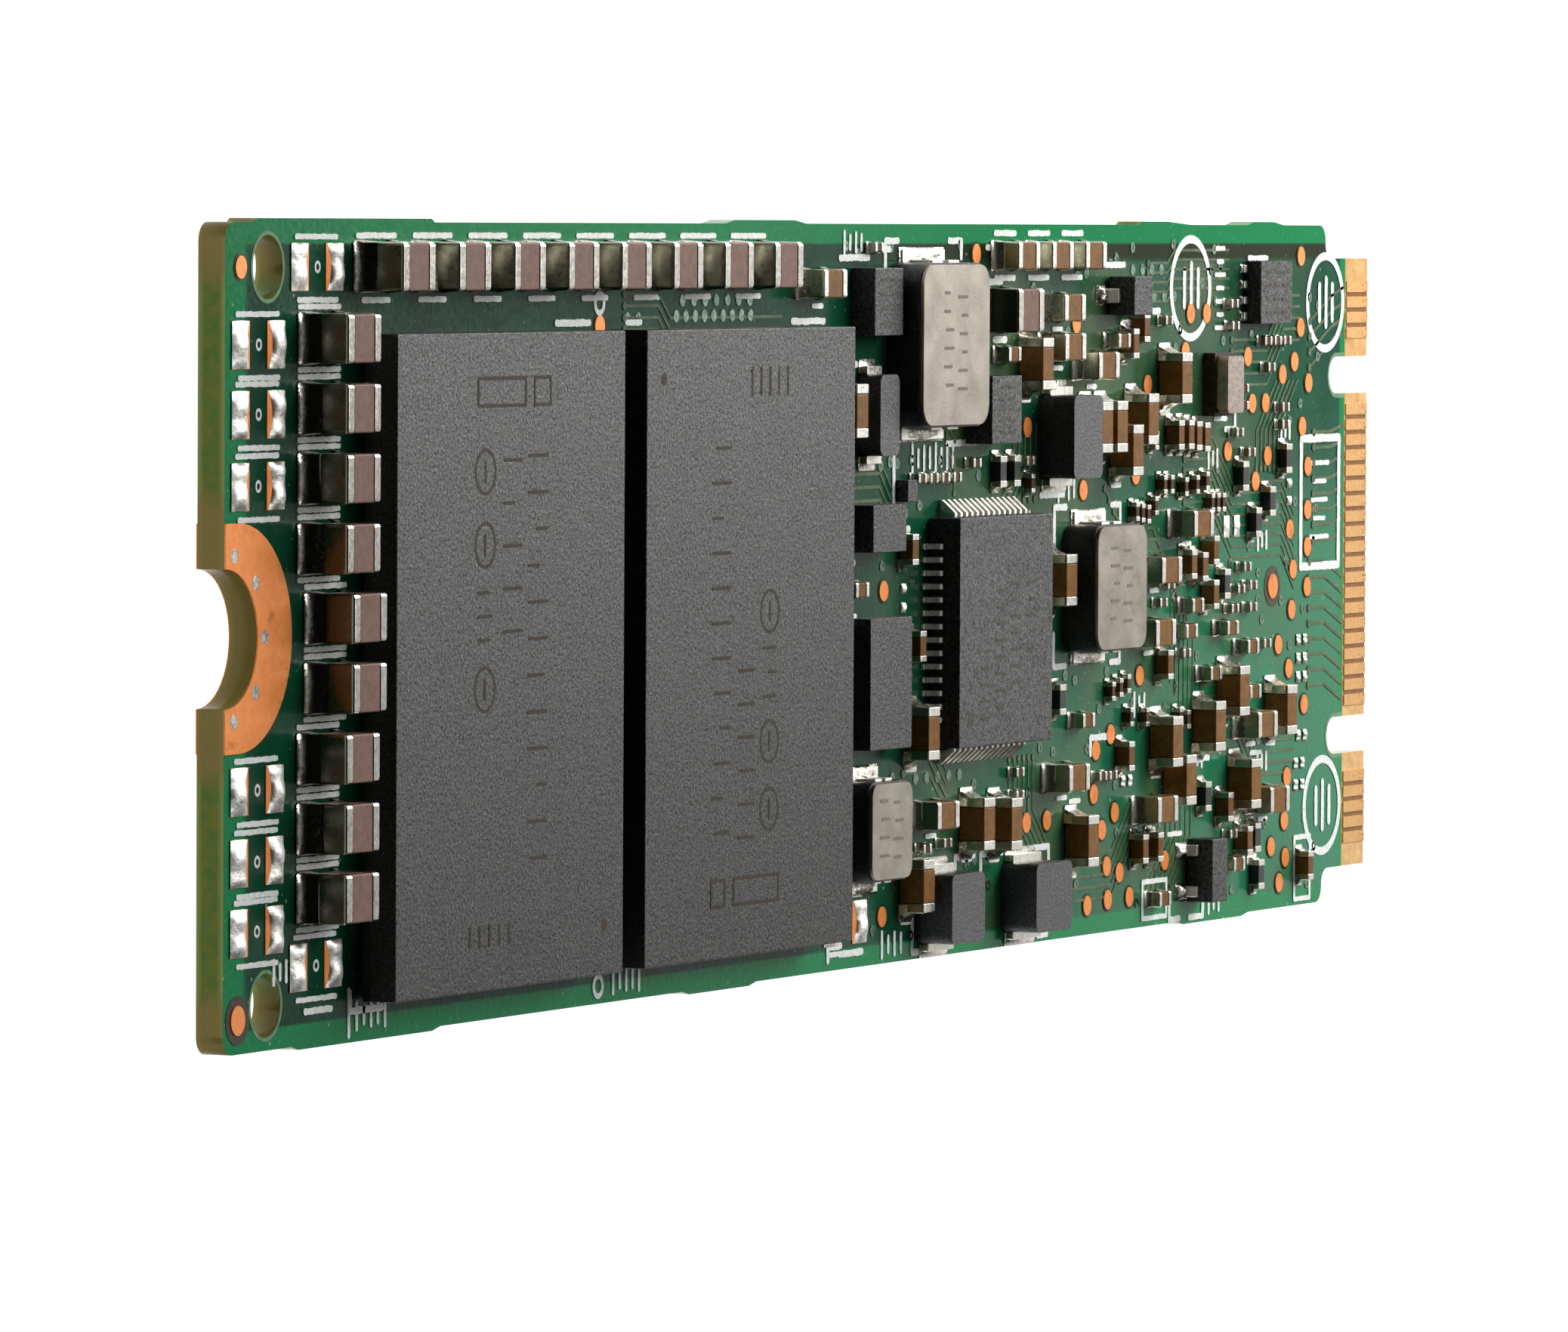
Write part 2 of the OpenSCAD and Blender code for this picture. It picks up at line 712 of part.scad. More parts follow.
// A foot on the board and two clips up the side, at both ends across the board
module inductor_terminal_pair(center, side, h) {
  foot_w = side * 0.62;
  foot_reach = 0.4;
  foot_t = 0.1;
  clip_w = side * 0.16;
  clip_t = 0.08;
  for (end = [0, 1])
    translate([center[0], center[1], board_t])
      mirror([0, end, 0])
        translate([0, side / 2, 0]) {
          translate([-foot_w / 2, 0, 0]) cube([foot_w, foot_reach, foot_t]);
          for (x = [-0.75, 0.75])
            translate([x * clip_w - clip_w / 2, 0, foot_t]) cube([clip_w, clip_t, h * 0.6]);
        }
}

module large_inductor_core() {
  color("#2a2a2c") inductor_core(large_inductor_center, large_inductor_side, inductor_h);
}

module middle_inductor_core() {
  color("#2a2a2c") inductor_core(middle_inductor_center, middle_inductor_side, inductor_h);
}

module small_inductor_core() {
  color("#2a2a2c")
    inductor_core(small_inductor_center, small_inductor_side, small_inductor_h);
}

module inductor_lids() {
  color("#b8b2a8") {
    inductor_lid(large_inductor_center, large_inductor_side, inductor_h);
    inductor_lid(middle_inductor_center, middle_inductor_side, inductor_h);
    inductor_lid(small_inductor_center, small_inductor_side, small_inductor_h);
  }
}

module inductor_terminals() {
  color("#c9c9c4") {
    inductor_terminal_pair(large_inductor_center, large_inductor_side, inductor_h);
    inductor_terminal_pair(middle_inductor_center, middle_inductor_side, inductor_h);
    inductor_terminal_pair(small_inductor_center, small_inductor_side, small_inductor_h);
  }
}

module ferrite_inductor_bodies() {
  color("#5a5a5c")
    for (box = ferrite_boxes)
      translate([box[0], box[1], board_t])
        linear_extrude(box[4]) rounded_rect(box[2], box[3], 0.25);
}

module ferrite_inductor_terminals() {
  foot_reach = 0.25;
  foot_h = 0.3;
  color("#c9c9c4")
    for (box = ferrite_boxes, end = [0, 1])
      translate([box[0], box[1], board_t])
        mirror([0, end, 0])
          translate([-box[2] * 0.4, box[3] / 2, 0]) cube([box[2] * 0.8, foot_reach, foot_h]);
}

// ---- Small chips, transistors and oscillator ----

module load_switch_chip() {
  color("#3c3c3e") front_box(load_switch_box);
}

module regulator_chip() {
  color("#3c3c3e") front_box(regulator_box);
}

module sense_chip() {
  color("#3c3c3e") front_box(sense_box);
}

module gate_driver_chip() {
  color("#3c3c3e") front_box(gate_driver_box);
}

module logic_chip() {
  color("#3c3c3e") front_box(logic_box);
}

module back_regulator_chip() {
  color("#3c3c3e") on_back() front_box(back_regulator_box);
}

serial_lead_lift = 0.05;

module serial_memory_chip() {
  color("#3c3c3e") front_box(serial_memory_box, serial_lead_lift);
}

module serial_memory_leads() {
  lead_len = 0.3;
  lead_h = 0.15;
  pitch = 0.5;
  color("#b98a5c")
    translate([serial_memory_box[0], serial_memory_box[1], board_t])
      for (side = [0, 1], i = [-1.5 : 1.5])
        mirror([side, 0, 0])
          translate([serial_memory_box[2] / 2, i * pitch - 0.12, 0])
            cube([lead_len, 0.24, lead_h]);
}

module transistor_bodies() {
  lift = 0.08;
  color("#1c1c1e")
    for (place = transistor_places)
      translate([place[0] - place[2] / 2, place[1] - place[3] / 2, board_t + lift])
        cube([place[2], place[3], transistor_h - lift]);
}

// A flat foot and a rise to the body's side
module transistor_lead(width) {
  reach = 0.65;
  translate([0, width / 2, 0])
    rotate([90, 0, 0])
      linear_extrude(width)
        polygon([
          [0, 0.5], [0.22, 0.5], [0.34, 0.14], [reach, 0.14],
          [reach, 0], [0.22, 0], [0.12, 0.38], [0, 0.38]
        ]);
}

module transistor_leads() {
  single = transistor_places[0];
  double = transistor_places[1];
  color("#c9c9c4") {
    translate([single[0], single[1], board_t]) {
      translate([-single[2] / 2, 0, 0]) rotate(180) transistor_lead(0.45);
      for (y = [-0.35, 0.35]) translate([single[2] / 2, y, 0]) transistor_lead(0.3);
    }
    translate([double[0], double[1], board_t]) {
      for (y = [-0.65, 0.65])
        translate([-double[2] / 2, y, 0]) rotate(180) transistor_lead(0.35);
      translate([double[2] / 2, 0, 0]) transistor_lead(0.35);
    }
  }
}

oscillator_base_size = [1.55, 2, 0.4];
oscillator_lid_size = [1.3, 1.8, 0.4];

module oscillator_base() {
  color("#6b5f4c")
    translate([oscillator_center[0] - oscillator_base_size[0] / 2,
               oscillator_center[1] - oscillator_base_size[1] / 2, board_t])
      cube(oscillator_base_size);
}

module oscillator_lid() {
  color("#b8b2a8")
    translate([oscillator_center[0], oscillator_center[1], board_t + oscillator_base_size[2]])
      linear_extrude(oscillator_lid_size[2])
        rounded_rect(oscillator_lid_size[0], oscillator_lid_size[1], 0.15);
}

circuit_board();
mount_pad_front();
mount_pad_back();
mount_pad_vias();
edge_contacts_front();
edge_contacts_back();
flash_package_1();
flash_package_2();
flash_package_3();
flash_package_4();
flash_substrates();
flash_balls_front();
flash_balls_back();
controller_package();
controller_substrate();
controller_balls();
working_memory_package();
working_memory_balls();
holdup_capacitor_bodies();
holdup_capacitor_terminals();
chip_capacitor_bodies();
chip_capacitor_terminals();
small_capacitor_bodies();
small_capacitor_terminals();
tiny_capacitor_bodies();
tiny_capacitor_terminals();
resistor_bodies();
resistor_terminals();
power_chip_body();
power_chip_lead_set();
large_inductor_core();
middle_inductor_core();
small_inductor_core();
inductor_lids();
inductor_terminals();
ferrite_inductor_bodies();
ferrite_inductor_terminals();
load_switch_chip();
regulator_chip();
sense_chip();
gate_driver_chip();
logic_chip();
serial_memory_chip();
serial_memory_leads();
transistor_bodies();
transistor_leads();
oscillator_base();
oscillator_lid();
test_points_front();
test_points_back();
fiducials();
spare_pads();
plated_vias();
back_capacitor_bodies();
back_capacitor_terminals();
back_resistor_bodies();
back_resistor_terminals();
back_regulator_chip();
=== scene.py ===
import math
import random

import bmesh
import bpy
import numpy as np
from mathutils import Matrix, Vector


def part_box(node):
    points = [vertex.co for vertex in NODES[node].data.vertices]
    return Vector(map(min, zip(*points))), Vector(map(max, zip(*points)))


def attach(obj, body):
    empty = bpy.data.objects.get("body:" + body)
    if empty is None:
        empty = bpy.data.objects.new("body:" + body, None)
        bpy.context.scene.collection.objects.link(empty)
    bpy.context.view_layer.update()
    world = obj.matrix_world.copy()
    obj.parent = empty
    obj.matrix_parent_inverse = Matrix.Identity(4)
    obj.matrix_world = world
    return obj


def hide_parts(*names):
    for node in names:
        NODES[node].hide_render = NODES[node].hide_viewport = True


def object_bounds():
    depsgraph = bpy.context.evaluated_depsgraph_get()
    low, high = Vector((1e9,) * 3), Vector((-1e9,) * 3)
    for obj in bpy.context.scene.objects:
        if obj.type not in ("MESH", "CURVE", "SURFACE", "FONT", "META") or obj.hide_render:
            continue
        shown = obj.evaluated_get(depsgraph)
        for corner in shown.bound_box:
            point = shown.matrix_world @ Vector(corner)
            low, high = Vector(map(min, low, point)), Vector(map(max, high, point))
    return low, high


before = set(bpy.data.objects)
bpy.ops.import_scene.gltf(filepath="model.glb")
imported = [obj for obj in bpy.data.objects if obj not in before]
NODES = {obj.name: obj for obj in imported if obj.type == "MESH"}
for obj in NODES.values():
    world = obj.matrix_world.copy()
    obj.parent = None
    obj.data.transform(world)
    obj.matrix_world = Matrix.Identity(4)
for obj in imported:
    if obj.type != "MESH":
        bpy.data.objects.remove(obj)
CAD_LOW, CAD_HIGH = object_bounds()
MM = 0.001
RNG = random.Random(7)

# ---- Places worked out from the frame, in millimetres ----

FRONT = 1
BACK = -1
# Neighbouring strokes differ this much in height, so that no two faces share a plane
LAYER_STEP = 0.0015


def node_box(node):
    """The lowest and highest corner of a CAD node, in millimetres."""
    low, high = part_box(node)
    return np.array(low) / MM, np.array(high) / MM


def loose_boxes(node):
    """The lowest and highest corner of each separate solid of a CAD node, in millimetres."""
    mesh = NODES[node].data
    points = np.array([v.co[:] for v in mesh.vertices]) / MM
    keys = np.unique(np.round(points, 3), axis=0, return_inverse=True)[1].ravel()
    parent = list(range(int(keys.max()) + 1))

    def root(i):
        while parent[i] != i:
            parent[i] = parent[parent[i]]
            i = parent[i]
        return i

    for face in mesh.polygons:
        corners = [int(keys[i]) for i in face.vertices]
        for other in corners[1:]:
            a, b = root(corners[0]), root(other)
            if a != b:
                parent[max(a, b)] = min(a, b)
    groups = {}
    for i, key in enumerate(keys):
        groups.setdefault(root(int(key)), []).append(i)
    found = [(points[g].min(0), points[g].max(0)) for g in groups.values()]
    return sorted(found, key=lambda b: tuple(np.round(b[0], 3)))


def centre(low, high):
    """The middle of a box, seen from above."""
    return (low[0] + high[0]) / 2, (low[1] + high[1]) / 2


BOARD_HIGH = node_box("circuit_board")[1]
BOARD_LEN = BOARD_HIGH[0]
BOARD_TOP = BOARD_HIGH[2]
EDGE_Y = BOARD_HIGH[1] - 0.1
FINGER_X = node_box("edge_contacts_front")[0][0]
POWER_MIDDLE = sum(node_box("power_chip_body")) / 2
HOLE_X = 2.4
HOLE_Y = 9.8
HOLE_R = 0.85
KEY_Y = (6.125, -5.625)
KEY_R = 0.6
KEY_DEPTH = 3.5


# ---- Mesh building ----


class Builder:
    """Collects closed shapes in millimetres and turns them into one mesh piece."""

    def __init__(self, side=FRONT):
        self.side = side
        self.layer = 0
        self.verts = []
        self.faces = []

    def height(self, h):
        return BOARD_TOP + h if self.side == FRONT else -h

    def add(self, verts, faces):
        base = len(self.verts)
        self.verts.extend(verts)
        self.faces.extend(tuple(base + i for i in f) for f in faces)

    def join(self, first, second):
        """A closed shape between two outlines with as many points."""
        n = len(first)
        faces = [tuple(range(n)), tuple(range(n, 2 * n))]
        faces += [(i, (i + 1) % n, n + (i + 1) % n, n + i) for i in range(n)]
        self.add(first + second, faces)

    def prism(self, outline, low, high):
        """A flat plate with this outline, between two heights above the board's face."""
        under, over = ([(x, y, self.height(h)) for x, y in outline] for h in (low, high))
        self.join(under, over)

    def plate(self, x0, y0, x1, y1, high):
        """A rectangle that lies on the board."""
        self.prism([(x0, y0), (x1, y0), (x1, y1), (x0, y1)], 0.0, high)

    def ring(self, x, y, r_in, r_out, low, high, steps=40):
        """A flat ring round a centre."""
        verts = []
        for r, h in ((r_in, low), (r_out, low), (r_out, high), (r_in, high)):
            for i in range(steps):
                a = 2 * math.pi * i / steps
                verts.append((x + r * math.cos(a), y + r * math.sin(a), self.height(h)))
        faces = []
        for k in range(4):
            for i in range(steps):
                j, m = (i + 1) % steps, (k + 1) % 4
                faces.append((k * steps + i, k * steps + j, m * steps + j, m * steps + i))
        self.add(verts, faces)

    def disc(self, x, y, r, low, high, steps=24):
        turn = [2 * math.pi * i / steps for i in range(steps)]
        self.prism([(x + r * math.cos(a), y + r * math.sin(a)) for a in turn], low, high)

    def stroke(self, x0, y0, x1, y1, width, low, high, wobble=0.0):
        """A round-ended stroke from point to point, with an uneven rim where wobble is above 0."""
        length = max(1e-6, math.hypot(x1 - x0, y1 - y0))
        ux, uy = (x1 - x0) / length, (y1 - y0) / length
        steps = max(1, int(length / 0.13)) if wobble else 1
        half = width / 2
        left, right = [], []
        for i in range(steps + 1):
            t = i / steps * length
            for edge, sign in ((left, 1), (right, -1)):
                w = half * (1 + wobble * RNG.uniform(-1, 1)) * sign
                edge.append((x0 + ux * t - uy * w, y0 + uy * t + ux * w))
        heading = math.atan2(uy, ux)
        caps = [math.pi * k / 6 - math.pi / 2 for k in range(1, 6)]
        far = [(x1 + half * math.cos(heading + a), y1 + half * math.sin(heading + a)) for a in caps]
        near = [
            (x0 + half * math.cos(heading + math.pi + a), y0 + half * math.sin(heading + math.pi + a))
            for a in caps
        ]
        self.layer = (self.layer + 1) % 5
        self.prism(right + far + left[::-1] + near, low, high + LAYER_STEP * self.layer)

    def path(self, points, width, low, high, wobble=0.0):
        for (x0, y0), (x1, y1) in zip(points, points[1:]):
            self.stroke(x0, y0, x1, y1, width, low, high, wobble)

    def field(self, us, vs, point):
        """A closed lump over a grid; point turns each u and v into x, y and a height."""
        n, m = len(us), len(vs)
        verts = [(x, y, self.height(h)) for x, y, h in (point(u, v) for u in us for v in vs)]
        faces = [
            (i * m + j, i * m + j + 1, (i + 1) * m + j + 1, (i + 1) * m + j)
            for i in range(n - 1)
            for j in range(m - 1)
        ]
        rim = list(range(m)) + [i * m + m - 1 for i in range(1, n)]
        rim += [(n - 1) * m + j for j in range(m - 2, -1, -1)]
        rim += [i * m for i in range(n - 2, 0, -1)]
        base = len(verts)
        verts += [(verts[i][0], verts[i][1], self.height(0.0)) for i in rim]
        count = len(rim)
        for k in range(count):
            q = (k + 1) % count
            faces.append((rim[k], rim[q], base + q, base + k))
        faces.append(tuple(base + k for k in range(count)))
        self.add(verts, faces)

    def piece(self, name, material, slot, smooth=False, replaces=()):
        mesh = bpy.data.meshes.new(name)
        mesh.from_pydata([(x * MM, y * MM, z * MM) for x, y, z in self.verts], [], self.faces)
        work = bmesh.new()
        work.from_mesh(mesh)
        bmesh.ops.recalc_face_normals(work, faces=work.faces[:])
        work.to_mesh(mesh)
        work.free()
        if smooth:
            mesh.shade_smooth()
            mesh.set_sharp_from_angle(angle=math.radians(50))
        mesh.materials.append(material)
        obj = bpy.data.objects.new(name, mesh)
        bpy.context.scene.collection.objects.link(obj)
        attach(obj, "root")
        if replaces:
            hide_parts(*replaces)
        return obj


# ---- Material helpers ----


def linear(code):
    """A linear colour from a hex code."""
    values = [int(code[i : i + 2], 16) / 255 for i in (1, 3, 5)]
    return tuple(v / 12.92 if v <= 0.04045 else ((v + 0.055) / 1.055) ** 2.4 for v in values) + (1,)


def new_material(name, roughness, metallic=0.0, specular=0.5):
    material = bpy.data.materials.new(name)
    material.use_nodes = True
    shader = material.node_tree.nodes["Principled BSDF"]
    shader.inputs["Roughness"].default_value = roughness
    shader.inputs["Metallic"].default_value = metallic
    shader.inputs["Specular IOR Level"].default_value = specular
    return material, material.node_tree, shader


def place(tree):
    return tree.nodes.new("ShaderNodeTexCoord").outputs["Object"]


def parts_of(tree, vector):
    """The three parts of a vector."""
    split = tree.nodes.new("ShaderNodeSeparateXYZ")
    tree.links.new(vector, split.inputs[0])
    return split.outputs


def axes(tree):
    """The place on the card, in metres from the middle of the screw end."""
    return parts_of(tree, place(tree))


def normal_axes(tree):
    """Which way the face looks."""
    return parts_of(tree, tree.nodes.new("ShaderNodeNewGeometry").outputs["Normal"])


def noise(tree, per_mm, detail=3.0, rough=0.55):
    node = tree.nodes.new("ShaderNodeTexNoise")
    node.inputs["Scale"].default_value = per_mm / MM
    node.inputs["Detail"].default_value = detail
    node.inputs["Roughness"].default_value = rough
    tree.links.new(place(tree), node.inputs["Vector"])
    return node.outputs["Fac"]


def spots(tree, per_mm):
    node = tree.nodes.new("ShaderNodeTexVoronoi")
    node.inputs["Scale"].default_value = per_mm / MM
    tree.links.new(place(tree), node.inputs["Vector"])
    return node.outputs["Distance"]


def remap(tree, value, low, high, out_low=0.0, out_high=1.0):
    node = tree.nodes.new("ShaderNodeMapRange")
    for name, number in (("From Min", low), ("From Max", high), ("To Min", out_low), ("To Max", out_high)):
        node.inputs[name].default_value = number
    tree.links.new(value, node.inputs["Value"])
    return node.outputs["Result"]


def patches(tree, per_mm, detail=3.0, low=0.3, high=0.7, rough=0.55):
    """Noise stretched so that it runs from 0 to 1 between two levels."""
    return remap(tree, noise(tree, per_mm, detail, rough), low, high)


def math_node(tree, kind, a, b=None):
    node = tree.nodes.new("ShaderNodeMath")
    node.operation = kind
    for i, value in enumerate((a, b)):
        if value is None:
            continue
        if isinstance(value, (int, float)):
            node.inputs[i].default_value = value
        else:
            tree.links.new(value, node.inputs[i])
    return node.outputs[0]


def times(tree, a, b):
    return math_node(tree, "MULTIPLY", a, b)


def larger(tree, a, b):
    return math_node(tree, "MAXIMUM", a, b)


def distance(tree, value):
    return math_node(tree, "ABSOLUTE", value)


def blend(tree, share, a, b):
    """Colour a where share is 0 and b where it is 1."""
    node = tree.nodes.new("ShaderNodeMix")
    node.data_type = "RGBA"
    tree.links.new(share, node.inputs["Factor"])
    for socket, value in ((node.inputs[6], a), (node.inputs[7], b)):
        if isinstance(value, str):
            socket.default_value = linear(value)
        else:
            tree.links.new(value, socket)
    return node.outputs[2]


def bump(tree, shader, value, depth_mm, strength=1.0):
    node = tree.nodes.new("ShaderNodeBump")
    node.inputs["Strength"].default_value = strength
    node.inputs["Distance"].default_value = depth_mm * MM
    tree.links.new(value, node.inputs["Height"])
    tree.links.new(node.outputs["Normal"], shader.inputs["Normal"])


def colour_to(tree, shader, colour):
    tree.links.new(colour, shader.inputs["Base Color"])


def rough_patches(tree, shader, per_mm, low, high, detail=3.0):
    """A roughness that varies between two values."""
    rough = remap(tree, noise(tree, per_mm, detail), 0.3, 0.7, low, high)
    tree.links.new(rough, shader.inputs["Roughness"])


# ---- Materials ----

MASK_SHINE = 0.14


def mask_planes(tree, x, y, dark_code, light_code, emerald_code):
    """Mask over the copper planes: dark at the packages, lighter towards the contacts; the lightening is
    partly painted sheen and partly the mask over fewer planes.
    """
    # Painted sheen, in part: the green lightens along the card towards the contacts
    light = blend(tree, remap(tree, y, 0.0005, 0.0035), light_code, "#104a37")
    plane = blend(tree, remap(tree, x, 0.040, 0.077), dark_code, light)
    cloud = patches(tree, 0.35, 4.0)
    plane = blend(tree, times(tree, cloud, 0.22), plane, emerald_code)
    crowded = times(tree, remap(tree, x, 0.040, 0.046), remap(tree, x, 0.076, 0.071))
    blotch = patches(tree, 0.22, 5.0, 0.45, 0.62)
    residue = times(tree, times(tree, crowded, blotch), 0.75)
    plane = blend(tree, residue, plane, "#536a45")
    strip = remap(tree, y, (EDGE_Y - 1.15) * MM, (EDGE_Y - 1.0) * MM)
    strip = times(tree, strip, remap(tree, x, 0.036, 0.044))
    return blend(tree, times(tree, strip, 0.85), plane, "#2a2712")


def rim_share(tree, x, y):
    """1 in the band without copper along the board's outline, 0 elsewhere."""
    rim = remap(tree, distance(tree, y), (EDGE_Y - 0.62) * MM, (EDGE_Y - 0.55) * MM)
    rim = larger(tree, rim, remap(tree, x, 0.00135, 0.00105))
    return larger(tree, rim, remap(tree, x, (FINGER_X - 0.6) * MM, (FINGER_X - 0.4) * MM))


def mask_layers(tree, dark_code, light_code, emerald_code):
    """Solder mask with an emerald rim, fine grain and pale dust."""
    x, y, _ = axes(tree)
    plane = mask_planes(tree, x, y, dark_code, light_code, emerald_code)
    green = blend(tree, rim_share(tree, x, y), plane, emerald_code)
    grain = patches(tree, 14.0, 2.0, 0.35, 0.75)
    green = blend(tree, times(tree, grain, 0.12), green, "#0a2419")
    dust = remap(tree, spots(tree, 1.1), 0.07, 0.045)
    fine_dust = times(tree, remap(tree, spots(tree, 2.7), 0.1, 0.06), 0.7)
    dust = larger(tree, dust, fine_dust)
    return blend(tree, times(tree, dust, 0.55), green, "#a9c4ad")


def laminate_layers(tree):
    """Bare glass laminate: tan on the faces, olive with glass bundles on the cut edges."""
    weave = patches(tree, 3.0, 4.0, 0.35, 0.65)
    face = blend(tree, weave, "#d7a467", "#ecbf80")
    z = axes(tree)[2]
    middle = distance(tree, math_node(tree, "SUBTRACT", z, BOARD_TOP / 2 * MM))
    near_skin = remap(tree, middle, 0.00022, 0.0004)
    core = blend(tree, weave, "#4a6a26", "#69701f")
    cut = blend(tree, near_skin, core, "#8c9150")
    return face, cut


def cut_edges(tree, x, y, facing, cut):
    """Cut edges: warmer by the notch and at the corners of the screw end, greener on the long sides."""
    from_middle = distance(tree, y)
    warm = remap(tree, from_middle, 0.0092, 0.0098)
    warm = larger(tree, warm, remap(tree, from_middle, 0.0040, 0.0034))
    warm = times(tree, warm, remap(tree, x, 0.0045, 0.0040, 0.0, 0.75))
    cut = blend(tree, warm, cut, "#86703c")
    long_side = remap(tree, distance(tree, facing[1]), 0.9, 0.97)
    outer = remap(tree, from_middle, 0.0105, 0.0108)
    return blend(tree, times(tree, long_side, outer), cut, "#3d7a3f")


def calm_share(tree, x, y):
    """1 where the mask shines less: the upper corner at the contacts and the upper rim."""
    corner = times(tree, remap(tree, x, 0.066, 0.072), remap(tree, y, 0.001, 0.005))
    rim = remap(tree, y, (EDGE_Y - 1.25) * MM, (EDGE_Y - 1.1) * MM)
    return larger(tree, corner, times(tree, rim, remap(tree, x, 0.03, 0.05)))


def board_material():
    """Mask on the faces, bare laminate at the contacts and on the cut edges."""
    material, tree, shader = new_material("board_laminate_and_mask", 0.3, 0.0, MASK_SHINE)
    green = mask_layers(tree, "#0f3a2c", "#2f8560", "#048a50")
    face, cut = laminate_layers(tree)
    x, y, _ = axes(tree)
    facing = normal_axes(tree)
    flat = remap(tree, distance(tree, facing[2]), 0.6, 0.8)
    bare = remap(tree, x, (FINGER_X - 0.10) * MM, (FINGER_X - 0.04) * MM)
    top = blend(tree, bare, green, face)
    colour_to(tree, shader, blend(tree, flat, cut_edges(tree, x, y, facing, cut), top))
    rough_patches(tree, shader, 6.0, 0.14, 0.26)
    shine = remap(tree, calm_share(tree, x, y), 0.0, 1.0, MASK_SHINE, 0.035)
    tree.links.new(shine, shader.inputs["Specular IOR Level"])
    bump(tree, shader, noise(tree, 5.0, 5.0), 0.006, 0.6)
    return material


def surface(name, levels, patch, light, dark, relief, speck=None, uneven=None):
    """A two-tone surface, some with specks of a third colour or an uneven roughness.

    levels: roughness, metal and specular level. patch: how fine the two tones are mixed.
    relief: fineness, detail, depth and strength. speck: colour, share and fineness.
    """
    material, tree, shader = new_material(name, *levels)
    colour = blend(tree, patches(tree, *patch), light, dark)
    if speck:
        code, most, *where = speck
        colour = blend(tree, times(tree, patches(tree, *where), most), colour, code)
    colour_to(tree, shader, colour)
    if uneven:
        rough_patches(tree, shader, *uneven)
    per_mm, detail, depth, strength = relief
    bump(tree, shader, noise(tree, per_mm, detail), depth, strength)
    return material


def mask_material(name, code, dark):
    """Solder mask over a track or a plane."""
    return surface(name, (0.3, 0.0, MASK_SHINE), (4.0, 3.0), code, dark, (9.0, 3.0, 0.004, 0.5))


def ceramic_material(name, light, dark, rough=0.45, specular=0.1):
    pits = ("#3a2618", 0.4, 15.0, 2.0, 0.62, 0.72)
    return surface(name, (rough, 0.0, specular), (4.0, 5.0), light, dark, (12.0, 3.0, 0.008, 0.6), pits)


def mark_material(name, light, dark, specular=0.12):
    """A laser-burnt mark on a moulded package."""
    levels = (0.6, 0.0, specular)
    return surface(name, levels, (14.0, 3.0, 0.35, 0.65), light, dark, (20.0, 2.0, 0.01, 0.8))


def lid_material():
    """Brushed nickel-silver lid with faint rubs."""
    rubs = ("#746d62", 0.3, 10.0, 2.0, 0.6, 0.7)
    relief = (8.0, 4.0, 0.008, 0.6)
    return surface("inductor_lid", (0.4, 0.85), (0.9, 5.0), "#a39c90", "#837c70", relief, rubs,
                   (5.0, 0.4, 0.56, 4.0))


def ink_material():
    relief = (14.0, 2.0, 0.01, 0.8)
    return surface("white_ink", (0.5,), (6.0, 4.0, 0.35, 0.7), "#ffffff", "#dbe5dd", relief)


def copper_material():
    """Copper under a thin clear finish."""
    stains = ("#a04c1e", 0.5, 1.3, 3.0, 0.6, 0.72)
    relief = (9.0, 4.0, 0.006, 0.7)
    return surface("bare_copper", (0.42, 0.4, 0.3), (3.5, 5.0), "#ffa052", "#f58f42", relief, stains)


def facing_screw_end(tree, low, high):
    """How far a face looks towards the screw end, where tin and solder take painted shade."""
    return remap(tree, normal_axes(tree)[0], -low, -high)


def tin_material(name, bright, dull, low, high, depth, painted_shade=None):
    """Tin or solder between two roughnesses; the optional last argument gives the colour of painted shade
    on faces that look towards the screw end, and where it starts and is full.
    """
    material, tree, shader = new_material(name, 0.25, 1.0)
    share = patches(tree, 5.0, 4.0, 0.35, 0.65)
    colour = blend(tree, share, bright, dull)
    # Painted shade: the colour darkens on faces that look towards the screw end
    if painted_shade:
        code, start, full = painted_shade
        shade_share = times(tree, facing_screw_end(tree, start, full), 0.92)
        colour = blend(tree, shade_share, colour, code)
    colour_to(tree, shader, colour)
    rough_patches(tree, shader, 9.0, low, high)
    bump(tree, shader, noise(tree, 7.0, 4.0), depth, 0.7)
    return material


def gold_material():
    material, tree, shader = new_material("gold_contact", 0.3, 1.0)
    share = patches(tree, 6.0, 4.0)
    colour = blend(tree, share, "#ffc880", "#f3b46c")
    worn = remap(tree, axes(tree)[0], (BOARD_LEN - 1.0) * MM, (BOARD_LEN - 0.5) * MM)
    speck = patches(tree, 12.0, 2.0, 0.56, 0.62)
    worn = times(tree, worn, speck)
    colour_to(tree, shader, blend(tree, worn, colour, "#8a5a24"))
    rough_patches(tree, shader, 10.0, 0.22, 0.4)
    bump(tree, shader, noise(tree, 8.0, 3.0), 0.006, 0.6)
    return material


